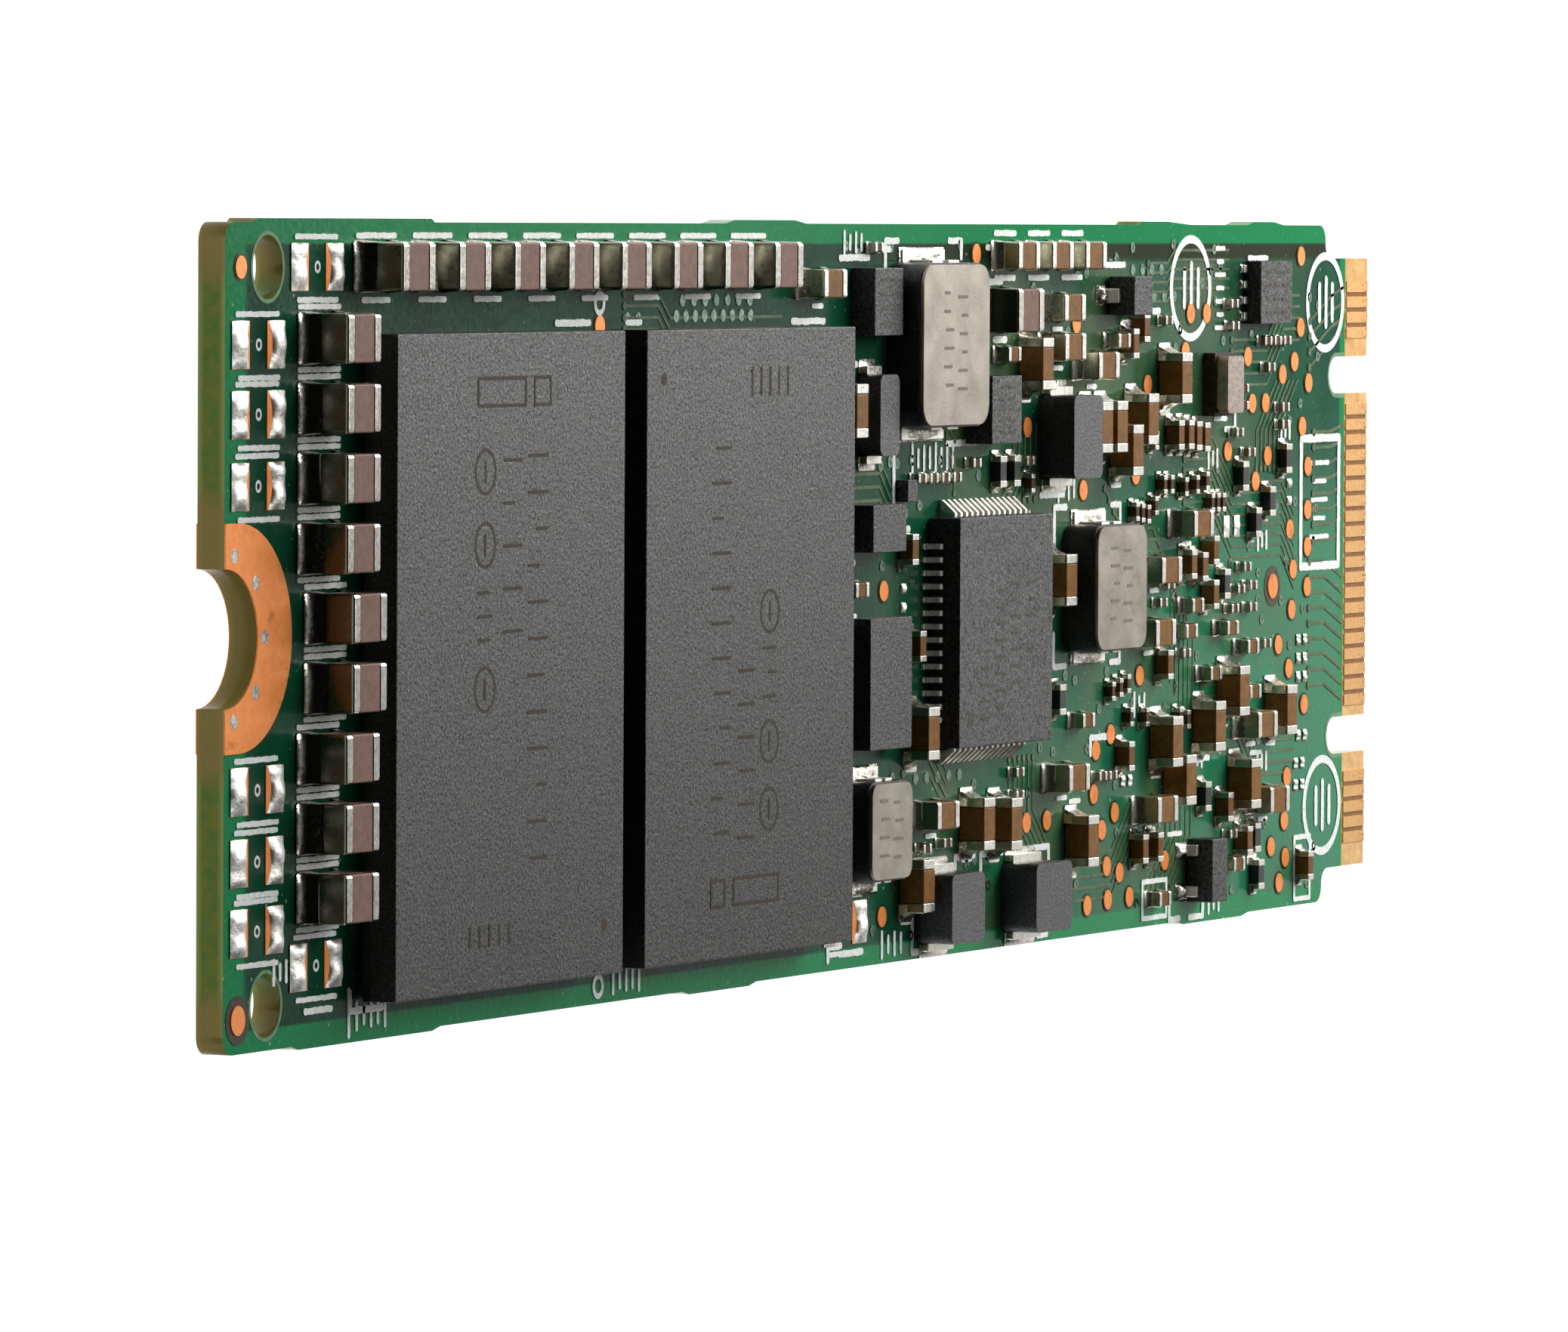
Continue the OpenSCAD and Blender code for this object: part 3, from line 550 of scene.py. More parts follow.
def mould_material(name, dark, light, sheen, rough_low=0.42, rough_high=0.6, grainy=1.0, fade=False):
    """Filled epoxy: dark, with fine pale grains and a dull sheen that may fade across the card."""
    material, tree, shader = new_material(name, 0.5)
    cloud = patches(tree, 0.5, 4.0)
    colour = blend(tree, cloud, dark, light)
    grain = patches(tree, 9.0, 3.0, 0.52, 0.7, 0.8)
    colour = blend(tree, times(tree, grain, 0.16), colour, sheen)
    colour_to(tree, shader, colour)
    rough_patches(tree, shader, 16.0, rough_low, rough_high, 3.0)
    bump(tree, shader, noise(tree, 9.0, 4.0, 0.8), 0.03, 1.0)
    shine = remap(tree, noise(tree, 11.0, 2.0, 0.9), 0.38, 0.64, 0.5 - 0.4 * grainy, 0.5 + 0.5 * grainy)
    if fade:
        shine = times(tree, shine, remap(tree, axes(tree)[1], -0.011, 0.006, 0.62, 1.12))
        shaded = remap(tree, facing_screw_end(tree, 0.7, 0.95), 0.0, 1.0, 1.0, 0.15)
        shine = times(tree, shine, shaded)
    tree.links.new(shine, shader.inputs["Specular IOR Level"])
    return material


BOARD = board_material()
TRACK = mask_material("mask_over_track", "#6a7a55", "#44583c")
GAP = mask_material("mask_opening", "#11271c", "#1c3d2a")
RIM = mask_material("hole_rim", "#7da377", "#5c8a62")
# Painted shade for the narrow gaps between the gold contacts
CONTACT_GAP_SHADE = mask_material("contact_gap", "#98662e", "#7c5024")
CLEARING = mask_material("fiducial_clearing", "#57493c", "#453b31")
# Painted shade on faces that look towards the screw end: its colour, and the facing where it starts and is
# full
TERMINAL_PAINTED_SHADE = ("#8c8c74", 0.6, 0.92)
DARK_PAINTED_SHADE = ("#4a4a38", 0.6, 0.92)
SOLDER_PAINTED_SHADE = ("#a9a893", 0.45, 0.8)
DARK_SOLDER_PAINTED_SHADE = ("#2a2a20", 0.45, 0.8)
TIN = tin_material("terminal_tin", "#f4f1ea", "#dedacf", 0.24, 0.4, 0.004, TERMINAL_PAINTED_SHADE)
HOLDUP_TIN = tin_material("holdup_tin", "#f2efe8", "#d9d5ca", 0.14, 0.26, 0.003, DARK_PAINTED_SHADE)
LEAD_TIN = tin_material("lead_tin", "#f8f5ee", "#e6e2d8", 0.42, 0.55, 0.003)
POLISHED_TIN = tin_material("polished_tin", "#f8f5ee", "#e6e2d8", 0.22, 0.34, 0.003)
SOLDER = tin_material("solder", "#ece8df", "#c6c1b4", 0.2, 0.38, 0.008, SOLDER_PAINTED_SHADE)
HOLDUP_SOLDER = tin_material("holdup_solder", "#ece8df", "#c6c1b4", 0.12, 0.26, 0.03, DARK_SOLDER_PAINTED_SHADE)
PAD_SOLDER = tin_material("pad_solder", "#fbfaf6", "#d6d3cb", 0.42, 0.6, 0.03)
FOOT_SOLDER = tin_material("foot_solder", "#efece2", "#8f8b7c", 0.14, 0.3, 0.06)
GOLD = gold_material()
COPPER = copper_material()
MOULD = mould_material("flash_mould", "#232322", "#2b2b29", "#8a8a84", fade=True)
CHIP_MOULD = mould_material("chip_mould", "#202020", "#2a2a2a", "#8c8c86")
FERRITE = mould_material("ferrite_body", "#26272a", "#303236", "#6a6c70", 0.34, 0.52, 0.65)
CORE = mould_material("inductor_core", "#0f0f10", "#19191a", "#3a3a3a", 0.3, 0.5, 0.4)
RESISTOR = ceramic_material("resistor_body", "#1b1b1d", "#101012", 0.35, 0.4)
SUBSTRATE = mask_material("package_substrate", "#12281c", "#0d1d15")
PURPLE = ceramic_material("holdup_ceramic", "#927266", "#7e6054")
TAN = ceramic_material("chip_ceramic", "#8f6534", "#765126")
BROWN = ceramic_material("small_ceramic", "#805a30", "#684622")
DARK_BROWN = ceramic_material("tiny_ceramic", "#5c442e", "#46321f")
LID = lid_material()
OSC_BASE = ceramic_material("oscillator_ceramic", "#4a3b30", "#352a23")
OSC_LID = tin_material("oscillator_lid", "#b3a59c", "#988a80", 0.3, 0.45, 0.01)
INK = ink_material()
MARK = mark_material("flash_mark", "#4a3f31", "#3a3127")
LID_MARK = mark_material("lid_mark", "#8d8678", "#7d7668")
CHIP_MARK = mark_material("chip_mark", "#4a4338", "#3c362d", 0.25)
VIA_FILL = tin_material("via_fill", "#8aa592", "#55705f", 0.2, 0.4, 0.01)

# Material, rounding in millimetres, and the CAD nodes that are shown with them
FINISHES = [
    (BOARD, 0.02, ["circuit_board"]),
    (COPPER, 0.01, ["mount_pad_front", "mount_pad_back"]),
    (COPPER, 0.012, ["test_points_front", "test_points_back", "fiducials"]),
    (SOLDER, 0.01, ["mount_pad_vias"]),
    (SOLDER, 0.1, ["flash_balls_front", "flash_balls_back", "controller_balls", "working_memory_balls"]),
    (GOLD, 0.015, ["edge_contacts_front", "edge_contacts_back"]),
    (MOULD, 0.04, ["flash_package_1", "flash_package_2", "flash_package_3", "flash_package_4"]),
    (SUBSTRATE, 0.015, ["flash_substrates", "controller_substrate"]),
    (CHIP_MOULD, 0.06, ["power_chip_body"]),
    (CHIP_MOULD, 0.05, ["controller_package"]),
    (CHIP_MOULD, 0.04, ["working_memory_package", "transistor_bodies"]),
    (CHIP_MOULD, 0.03, ["load_switch_chip", "regulator_chip", "sense_chip", "gate_driver_chip"]),
    (CHIP_MOULD, 0.03, ["serial_memory_chip", "back_regulator_chip"]),
    (CHIP_MOULD, 0.02, ["logic_chip"]),
    (PURPLE, 0.05, ["holdup_capacitor_bodies"]),
    (HOLDUP_TIN, 0.11, ["holdup_capacitor_terminals"]),
    (TAN, 0.04, ["chip_capacitor_bodies", "back_capacitor_bodies"]),
    (BROWN, 0.03, ["small_capacitor_bodies"]),
    (DARK_BROWN, 0.02, ["tiny_capacitor_bodies"]),
    (RESISTOR, 0.02, ["resistor_bodies", "back_resistor_bodies"]),
    (TIN, 0.08, ["chip_capacitor_terminals", "back_capacitor_terminals"]),
    (TIN, 0.06, ["small_capacitor_terminals"]),
    (TIN, 0.05, ["ferrite_inductor_terminals"]),
    (TIN, 0.04, ["tiny_capacitor_terminals", "resistor_terminals", "back_resistor_terminals"]),
    (CORE, 0.05, ["large_inductor_core", "middle_inductor_core", "small_inductor_core"]),
    (LID, 0.04, ["inductor_lids"]),
    (FERRITE, 0.06, ["ferrite_inductor_bodies"]),
    (LEAD_TIN, 0.03, ["inductor_terminals", "transistor_leads"]),
    (LEAD_TIN, 0.02, ["power_chip_lead_set", "serial_memory_leads"]),
    (OSC_BASE, 0.03, ["oscillator_base"]),
    (OSC_LID, 0.03, ["oscillator_lid"]),
    (VIA_FILL, 0.006, ["plated_vias"]),
]
SHOWN = {node: (material, rounding) for material, rounding, nodes in FINISHES for node in nodes}
ROUNDED = 0.03


def finish_cad_nodes():
    """Gives each shown CAD node its material and softened edges."""
    for name, (material, rounding) in SHOWN.items():
        obj = NODES[name]
        obj.data.materials.clear()
        obj.data.materials.append(material)
        weld = obj.modifiers.new("weld", "WELD")
        weld.merge_threshold = 0.002 * MM
        bevel = obj.modifiers.new("bevel", "BEVEL")
        bevel.width = rounding * MM
        bevel.segments = 3 if rounding >= ROUNDED else 1
        bevel.limit_method = "ANGLE"
        bevel.angle_limit = math.radians(40)
        bevel.harden_normals = rounding >= ROUNDED


# ---- Solder ----


def terminal_ends(bodies, terminals):
    """Each terminal's box with the axis and sign that point away from its own body's middle."""
    middles = [(low + high) / 2 for low, high in loose_boxes(bodies)]
    for low, high in loose_boxes(terminals):
        centre = (low + high) / 2
        nearest = min(middles, key=lambda m: float(np.hypot(*(m - centre)[:2])))
        away = (centre - nearest)[:2]
        axis = 0 if abs(away[0]) > abs(away[1]) else 1
        yield low, high, axis, 1 if away[axis] > 0 else -1


def point_on(axis, along, across, height):
    """A point given by its places along one axis and across it."""
    return (along, across, height) if axis == 0 else (across, along, height)


def add_fillet(builder, low, high, axis, sign, climb_share, reach, side_reach):
    """A concave solder fillet at a terminal's outer end and along its two sides."""
    other = 1 - axis
    face = high[axis] if sign > 0 else low[axis]
    depth = high[axis] - low[axis]
    middle = (high[other] + low[other]) / 2
    half = (high[other] - low[other]) / 2
    climb = (high[2] - low[2]) * climb_share * RNG.uniform(0.85, 1.1)
    foot = 0.045
    out = [-0.85 * depth, -0.02, 0.1 * reach, 0.28 * reach, 0.5 * reach, 0.76 * reach, reach]
    across = [half + side_reach, half + side_reach * 0.5, half - 0.02]
    across = [-v for v in across] + [0.0] + across[::-1]

    def point(u, v):
        s = min(1.0, math.hypot(max(0.0, u / reach), max(0.0, (abs(v) - half) / side_reach)))
        height = foot + (climb - foot) * (1 - s) ** 2.3 * RNG.uniform(0.93, 1.07)
        shrink = 1 - 0.12 * max(0.0, u / reach) ** 4
        return point_on(axis, face + sign * u, middle + v * shrink, height)

    builder.field(out, across, point)


# Bodies, terminals, how far the solder climbs, how far it reaches out and sideways
HOLDUP_FILLETED = [("holdup_capacitor_bodies", "holdup_capacitor_terminals", 0.46, 0.42, 0.05)]
FILLETED = [
    ("chip_capacitor_bodies", "chip_capacitor_terminals", 0.5, 0.3, 0.05),
    ("small_capacitor_bodies", "small_capacitor_terminals", 0.5, 0.2, 0.04),
    ("tiny_capacitor_bodies", "tiny_capacitor_terminals", 0.5, 0.12, 0.03),
    ("resistor_bodies", "resistor_terminals", 0.6, 0.18, 0.03),
    ("ferrite_inductor_bodies", "ferrite_inductor_terminals", 0.3, 0.2, 0.05),
]
BACK_FILLETED = [
    ("back_capacitor_bodies", "back_capacitor_terminals", 0.5, 0.3, 0.05),
    ("back_resistor_bodies", "back_resistor_terminals", 0.6, 0.18, 0.03),
]


def solder_fillets(rows, side, name, material=SOLDER):
    builder = Builder(side)
    for bodies, terminals, climb, reach, side_reach in rows:
        for low, high, axis, sign in terminal_ends(bodies, terminals):
            add_fillet(builder, low, high, axis, sign, climb, reach, side_reach)
    builder.piece(name, material, "tin", smooth=True)


def add_solder_lump(builder, low, high, axis, inner_sign, bare, peak):
    """Domed solder on an empty pad; it leaves a curved strip of the pad bare on its inner side."""
    other = 1 - axis
    length = high[axis] - low[axis]
    half = (high[other] - low[other]) / 2
    middle = (high[other] + low[other]) / 2
    outer = low[axis] if inner_sign > 0 else high[axis]

    def point(j, i):
        t = j / 10 * 2 - 1
        s = i / 8
        along = outer + inner_sign * s * (length - bare * (1 - 0.75 * t * t))
        sideways = middle + t * half * (1 - 0.04 * abs(2 * s - 1) ** 3)
        dome = math.sin(math.pi * s) ** 0.6 if 0 < s < 1 else 0.0
        ridge = 0.8 + 0.25 * math.sin(5.0 * t + middle)
        return point_on(axis, along, sideways, 0.035 + peak * dome * (1 - abs(t) ** 5) * ridge)

    builder.field(range(11), range(9), point)


def pad_pairs(boxes):
    """Pairs each empty pad with the nearest later one of its size; large pads pair along the card."""
    used = set()
    pairs = []
    for i, (low, high) in enumerate(boxes):
        if i in used:
            continue
        size = high - low
        near = []
        for j, (low_b, high_b) in enumerate(boxes):
            if j <= i or j in used or np.abs((high_b - low_b) - size).max() > 0.02:
                continue
            if is_large(low, high) and abs(low_b[1] - low[1]) > 0.1:
                continue
            near.append((float(np.hypot(*(low_b + high_b - low - high)[:2])), j))
        partner = min(near)[1]
        used.update((i, partner))
        pairs.append((boxes[i], boxes[partner]))
    return pairs


def is_large(low, high):
    return (high - low)[:2].max() > 1.0


def spare_pads():
    """Empty pads: a copper rim shows beside a domed coat of solder."""
    copper = Builder()
    solder = Builder()
    pairs = pad_pairs(loose_boxes("spare_pads"))
    for pair in pairs:
        middle = sum(low + high for low, high in pair) / 4
        for low, high in pair:
            offset = ((low + high) / 2 - middle)[:2]
            axis = 0 if abs(offset[0]) > abs(offset[1]) else 1
            inner = -1 if offset[axis] > 0 else 1
            bare, peak = 0.0, 0.07
            if is_large(low, high):
                bare, peak = (0.14 if inner > 0 else 0.3), 0.16
            copper.plate(low[0], low[1], high[0], high[1], 0.03)
            add_solder_lump(solder, low, high, axis, inner, bare, peak)
    copper.piece("spare_pad_copper", COPPER, "copper")
    solder.piece("spare_pad_solder", PAD_SOLDER, "tin", smooth=True, replaces=("spare_pads",))
    return pairs


def add_solder_dome(builder, x0, y0, x1, y1, rise, steps=8):
    """An uneven low dome of solder over a rectangle."""

    def point(t, u):
        dome = math.sin(math.pi * t) * math.sin(math.pi * u)
        lift = 0.03 + rise * dome ** 0.6 * RNG.uniform(0.8, 1.2)
        return x0 + (x1 - x0) * u, y0 + (y1 - y0) * t, lift

    shares = [i / steps for i in range(steps + 1)]
    builder.field(shares, shares, point)


# Leads, how far their solder reaches and how high it rises
DOMED = [
    ("serial_memory_leads", 0.08, 0.1),
    ("transistor_leads", 0.18, 0.22),
    ("inductor_terminals", 0.12, 0.12),
]
TRANSISTOR_SOLDER = 0.45


def lead_solder():
    """Solder at the feet of the leaded parts and round the inductors' pads."""
    builder = Builder()
    for node, reach, rise in DOMED:
        middle = sum(node_box(node)) / 2
        for low, high in loose_boxes(node):
            x0, x1 = low[0] - reach, high[0] + reach * 0.5
            y0, y1 = low[1] - reach * 0.5, high[1] + reach * 0.5
            if low[0] < middle[0] and node == "transistor_leads":
                x1 = low[0] + TRANSISTOR_SOLDER
            add_solder_dome(builder, x0, y0, x1, y1, rise)
    builder.piece("lead_solder", FOOT_SOLDER, "tin", smooth=True)


# Outline of a lead's slope: how far out from the body, and the height above the board
STRAIGHT_SLOPE = [(0.03, 0.5), (0.03, 0.535), (0.13, 0.535), (0.5, 0.13), (0.3, 0.08), (0.14, 0.37)]
ROUND_SLOPE = [
    (0.03, 0.46), (0.03, 0.55), (0.1, 0.555), (0.17, 0.53), (0.22, 0.48),
    (0.26, 0.41), (0.47, 0.17), (0.5, 0.125), (0.3, 0.08), (0.14, 0.34),
]
SLOPE_INSET = 0.016


def lead_slopes(axis, profile, name, material, smooth):
    """The outer slope of each gull-wing lead that points along one axis, from its shoulder to its toe."""
    builder = Builder()
    other = 1 - axis
    for low, high in loose_boxes("power_chip_lead_set"):
        if high[axis] - low[axis] < high[other] - low[other]:
            continue
        out = 1 if (low + high)[axis] / 2 > POWER_MIDDLE[axis] else -1
        inner = low[axis] if out > 0 else high[axis]
        sides = (low[other] + SLOPE_INSET, high[other] - SLOPE_INSET)
        builder.join(*(
            [point_on(axis, inner + out * reach, side, low[2] + height) for reach, height in profile]
            for side in sides
        ))
    builder.piece(name, material, "tin", smooth)


RIM_TOP = 0.01


def add_key_rim(builder, y, width=0.13, steps=16):
    """A band round the inner end of a key notch and along its two sides up to the contacts."""
    x = BOARD_LEN - KEY_DEPTH + KEY_R
    inner = KEY_R + 0.006
    turns = [math.pi / 2 + math.pi * i / steps for i in range(steps + 1)]
    for a, b in zip(turns, turns[1:]):
        corners = [(r, t) for r, t in ((inner, a), (inner + width, a), (inner + width, b), (inner, b))]
        outline = [(x + r * math.cos(t), y + r * math.sin(t)) for r, t in corners]
        builder.prism(outline, 0.0, RIM_TOP)
    for sign in (-1, 1):
        y0, y1 = y + sign * inner, y + sign * (inner + width)
        builder.plate(x, y0, FINGER_X - 0.12, y1, RIM_TOP)


def hole_rims():
    """The pale band of thin mask round the tooling holes and the key notches."""
    builder = Builder()
    for y in (-HOLE_Y, HOLE_Y):
        builder.ring(HOLE_X, y, HOLE_R + 0.005, HOLE_R + 0.11, 0.0, RIM_TOP, 48)
    for y in KEY_Y:
        add_key_rim(builder, y)
    builder.piece("hole_and_key_rims", RIM, "laminate")


GROUP_GAP = 0.4
GAP_TOP = 0.008


def contact_gap_shade():
    """Strips of painted shade on the bare laminate between neighbouring contacts."""
    builder = Builder()
    fingers = sorted(loose_boxes("edge_contacts_front"), key=lambda b: b[0][1])
    for (low, high), (low_b, _) in zip(fingers, fingers[1:]):
        if low_b[1] - high[1] < GROUP_GAP:
            builder.plate(low[0], high[1] + 0.005, high[0], low_b[1] - 0.005, GAP_TOP)
    builder.piece("contact_gap_shade", CONTACT_GAP_SHADE, "laminate")


# ---- Printed ink ----

INK_TOP = 0.022
INK_W = 0.2


def ink_bar(builder, x, y, length, width=INK_W, turned=False):
    half = length / 2 - width / 2
    dx, dy = (0, half) if turned else (half, 0)
    builder.stroke(x - dx, y - dy, x + dx, y + dy, width, 0.0, INK_TOP, 0.16)


def ink_frame(builder, x0, y0, x1, y1, width=INK_W):
    corners = [(x0, y0), (x1, y0), (x1, y1), (x0, y1), (x0, y0)]
    builder.path(corners, width, 0.0, INK_TOP, 0.12)


def ink_corner(builder, x, y, dx, dy, width=INK_W):
    """An L-shaped corner whose arms run dx along the card and dy across it."""
    builder.path([(x + dx, y), (x, y), (x, y + dy)], width, 0.0, INK_TOP, 0.14)


def ink_label(builder, x, y, cells, pitch=0.42, height=0.75, turned=False):
    """A row of plain strokes of mixed lengths where the board has a printed reference."""
    for i in range(cells):
        half = height * (1.0, 0.6, 0.85, 0.7)[i % 4] / 2
        step = (i - (cells - 1) / 2) * pitch
        ends = (x + step, y - half, x + step, y + half)
        if turned:
            ends = (x - half, y + step, x + half, y + step)
        builder.stroke(*ends, 0.15, 0.0, INK_TOP, 0.15)


def ink_bars(builder, rows):
    for row in rows:
        ink_bar(builder, *row)


def holdup_ink(builder):
    """Bars beside the hold-up capacitors of the row, of the column and of the one that stands alone."""
    for low, high in body_spans("holdup_capacitor_bodies", "holdup_capacitor_terminals"):
        x, y = centre(low, high)
        if y > HOLDUP_ROW_Y and x < HOLDUP_ROW_END:
            ink_bars(builder, [(x, y + 0.84, 2.4, 0.16), (x, y - 0.9, 1.7, 0.16)])
        elif x < HOLDUP_COLUMN_END:
            ink_bars(builder, [(x - 0.1, y + 0.84, 2.5, 0.15), (x - 0.1, y - 0.84, 2.5, 0.15)])
        else:
            ink_bars(builder, [(x, y + 0.86, 1.6), (x + 0.6, y - 0.9, 1.1)])


def pad_pair_ink(builder, pairs):
    """Bars beside each large pair of empty pads, and a small ring between its pads."""
    for first, second in pairs:
        low = np.minimum(first[0], second[0])
        high = np.maximum(first[1], second[1])
        if (high - low)[:2].max() < 2:
            continue
        x, y = centre(low, high)
        ink_bars(builder, [(x - 0.05, high[1] + 0.17, 2.5, 0.15), (x + 0.05, low[1] - 0.24, 2.4, 0.15)])
        builder.ring(x + 0.05, y, 0.09, 0.17, 0.0, 0.012, 20)


def chip_capacitor_ink(builder):
    """Bars beside the larger chip capacitors."""
    for low, high in body_spans("chip_capacitor_bodies", "chip_capacitor_terminals"):
        x, y = centre(low, high)
        if y > 9.7 and x > 45:
            ink_bars(builder, [(x, y + 0.68, 1.7, 0.18), (x, y - 0.68, 1.6, 0.18)])
        elif high[1] - low[1] < high[0] - low[0]:
            ink_bar(builder, x + 0.5, y - 0.66, 0.8, 0.16)
        else:
            ink_bar(builder, x + 0.1, low[1] - 0.3, 0.8, 0.16)


def front_ink(pairs):
    builder = Builder()
    holdup_ink(builder)
    pad_pair_ink(builder, pairs)
    chip_capacitor_ink(builder)
    for x, y, r in RINGS:
        builder.ring(x, y, r - 0.13, r + 0.13, 0.0, INK_TOP, 48)
    for x, y in DOT_RINGS:
        builder.ring(x, y, 0.2, 0.36, 0.0, INK_TOP, 24)
    for row in FRAMES:
        ink_frame(builder, *row)
    ink_bars(builder, BARS)
    for row in CORNERS:
        ink_corner(builder, *row)
    for row in LABELS:
        ink_label(builder, *row)
    ring_glyphs(builder)
    builder.piece("silkscreen_front", INK, None)


HOLDUP_ROW_Y = 9
HOLDUP_ROW_END = 40
HOLDUP_COLUMN_END = 8
# x, y and radius of the large printed rings, and x and y of the small ones
RINGS = [(64.9, 9.0, 1.55), (76.1, 8.5, 1.5), (76.1, -7.85, 1.5)]
DOT_RINGS = [(22.4, 8.75), (22.5, -10.5)]
# Two opposite corners and the width of the line
FRAMES = [
    (74.15, -0.05, 77.35, 4.1, 0.26), (61.35, -10.75, 63.25, -9.6, 0.16), (73.8, -10.8, 75.1, -8.8, 0.16),
]
# x, y, length, width, turned
BARS = [
    (20.7, 8.2, 2.3), (24.6, 8.2, 1.1), (36.3, 8.15, 2.4), (8.0, 8.15, 1.3), (39.5, 10.0, 2.2),
    (41.5, 10.25, 1.2), (49.4, 10.3, 0.8), (39.0, 6.85, 1.6), (39.5, -10.55, 1.8),
    (43.0, 1.9, 1.2), (58.9, 9.75, 1.6), (60.2, 7.95, 1.6), (47.3, 4.4, 2.3), (61.0, 5.6, 0.9),
    (39.3, -0.6, 1.0), (58.9, -0.9, 0.9), (66.3, -5.9, 0.8), (54.1, 2.7, 1.9), (50.6, 6.2, 0.8),
    (44.9, -8.15, 1.7), (62.0, 8.3, 1.0), (67.4, 4.85, 1.1, 0.16), (63.9, -8.2, 1.2, 0.16),
    (70.4, 9.95, 1.7, 0.16), (72.0, 9.0, 1.6, 0.16, True), (59.9, 1.2, 1.1, 0.16),
    (56.0, -6.8, 0.9, 0.16), (70.5, -5.9, 1.0, 0.16), (66.9, -10.2, 1.1, 0.16),
    (5.4, -10.1, 1.7, 0.18), (5.3, -7.7, 1.6, 0.18), (7.2, -10.3, 1.4, 0.16, True),
]
# corner x, y and the two arms
CORNERS = [
    (41.7, 10.5, 0.9, -1.0), (41.5, 4.35, 0.9, 0.9), (47.2, 10.5, -0.9, -0.5),
    (54.3, 2.3, 0.9, -1.2), (54.3, -2.6, 0.9, 1.0), (59.4, 2.3, -0.7, -0.5), (59.4, -2.6, -0.7, 0.6),
    (42.4, 2.2, -1.6, 2.0), (47.0, -8.1, 1.4, -0.9), (43.9, -10.8, 1.1, 1.7), (48.9, -8.1, 1.6, -1.4),
    (54.0, -8.1, -1.1, -0.8), (53.9, -10.8, -0.7, 1.4),
    (68.6, 4.5, -0.8, 0.7), (52.3, 6.1, 1.6, 0.3), (57.2, -4.9, 1.3, -0.5), (66.2, -10.9, -1.1, 0.6),
    (52.6, -4.6, 1.2, 0.9), (63.5, -10.9, 0.8, 0.8), (38.5, -5.0, 0.7, -0.6), (38.4, 1.0, 1.2, 1.6),
    (7.25, -10.25, 1.9, 0.5), (37.9, -10.3, 0.9, -0.4),
]
# x, y, cells, pitch, height, turned
LABELS = [
    (8.5, -10.4, 5, 0.42, 0.7), (24.3, -10.4, 5, 0.42, 0.7), (39.4, 10.45, 4, 0.4, 0.6),
    (42.4, -10.45, 4, 0.45, 0.75), (45.2, 4.0, 8, 0.42, 0.8), (55.2, 2.9, 4, 0.4, 0.8),
    (67.3, 9.0, 7, 0.42, 0.75, True), (75.7, 2.1, 5, 0.6, 1.5, True),
    (61.0, -4.0, 3, 0.4, 0.7), (69.9, -9.2, 3, 0.4, 0.7), (67.1, -10.5, 3, 0.4, 0.7),
    (65.7, -5.9, 3, 0.35, 0.6), (66.8, 3.6, 3, 0.35, 0.6), (72.8, 4.4, 3, 0.35, 0.6),
    (3.2, -8.95, 3, 0.35, 0.6), (52.0, 1.9, 3, 0.4, 0.7), (38.6, -8.3, 3, 0.4, 0.7),
    (60.0, 0.6, 3, 0.35, 0.6), (70.9, 0.9, 3, 0.35, 0.6), (71.0, -6.2, 3, 0.35, 0.6),
]


def ring_glyphs(builder):
    """Plain bars inside the printed rings."""
    for x, y, _ in RINGS:
        for dx, half in ((-0.5, 0.55), (0.05, 0.75), (0.6, 0.55)):
            builder.stroke(x + dx, y - half, x + dx, y + half, 0.24, 0.0, INK_TOP, 0.1)


def body_spans(bodies, terminals):
    """The whole box of each two-ended part, terminals included."""
    ends = loose_boxes(terminals)
    for low, high in loose_boxes(bodies):
        middle = (low + high) / 2
        near = sorted(ends, key=lambda e: float(np.hypot(*((e[0] + e[1]) / 2 - middle)[:2])))[:2]
        yield (np.minimum.reduce([low] + [e[0] for e in near]),
               np.maximum.reduce([high] + [e[1] for e in near]))


# ---- Tracks ----

TRACK_TOP = 0.016
TRACK_SHARE = 0.65
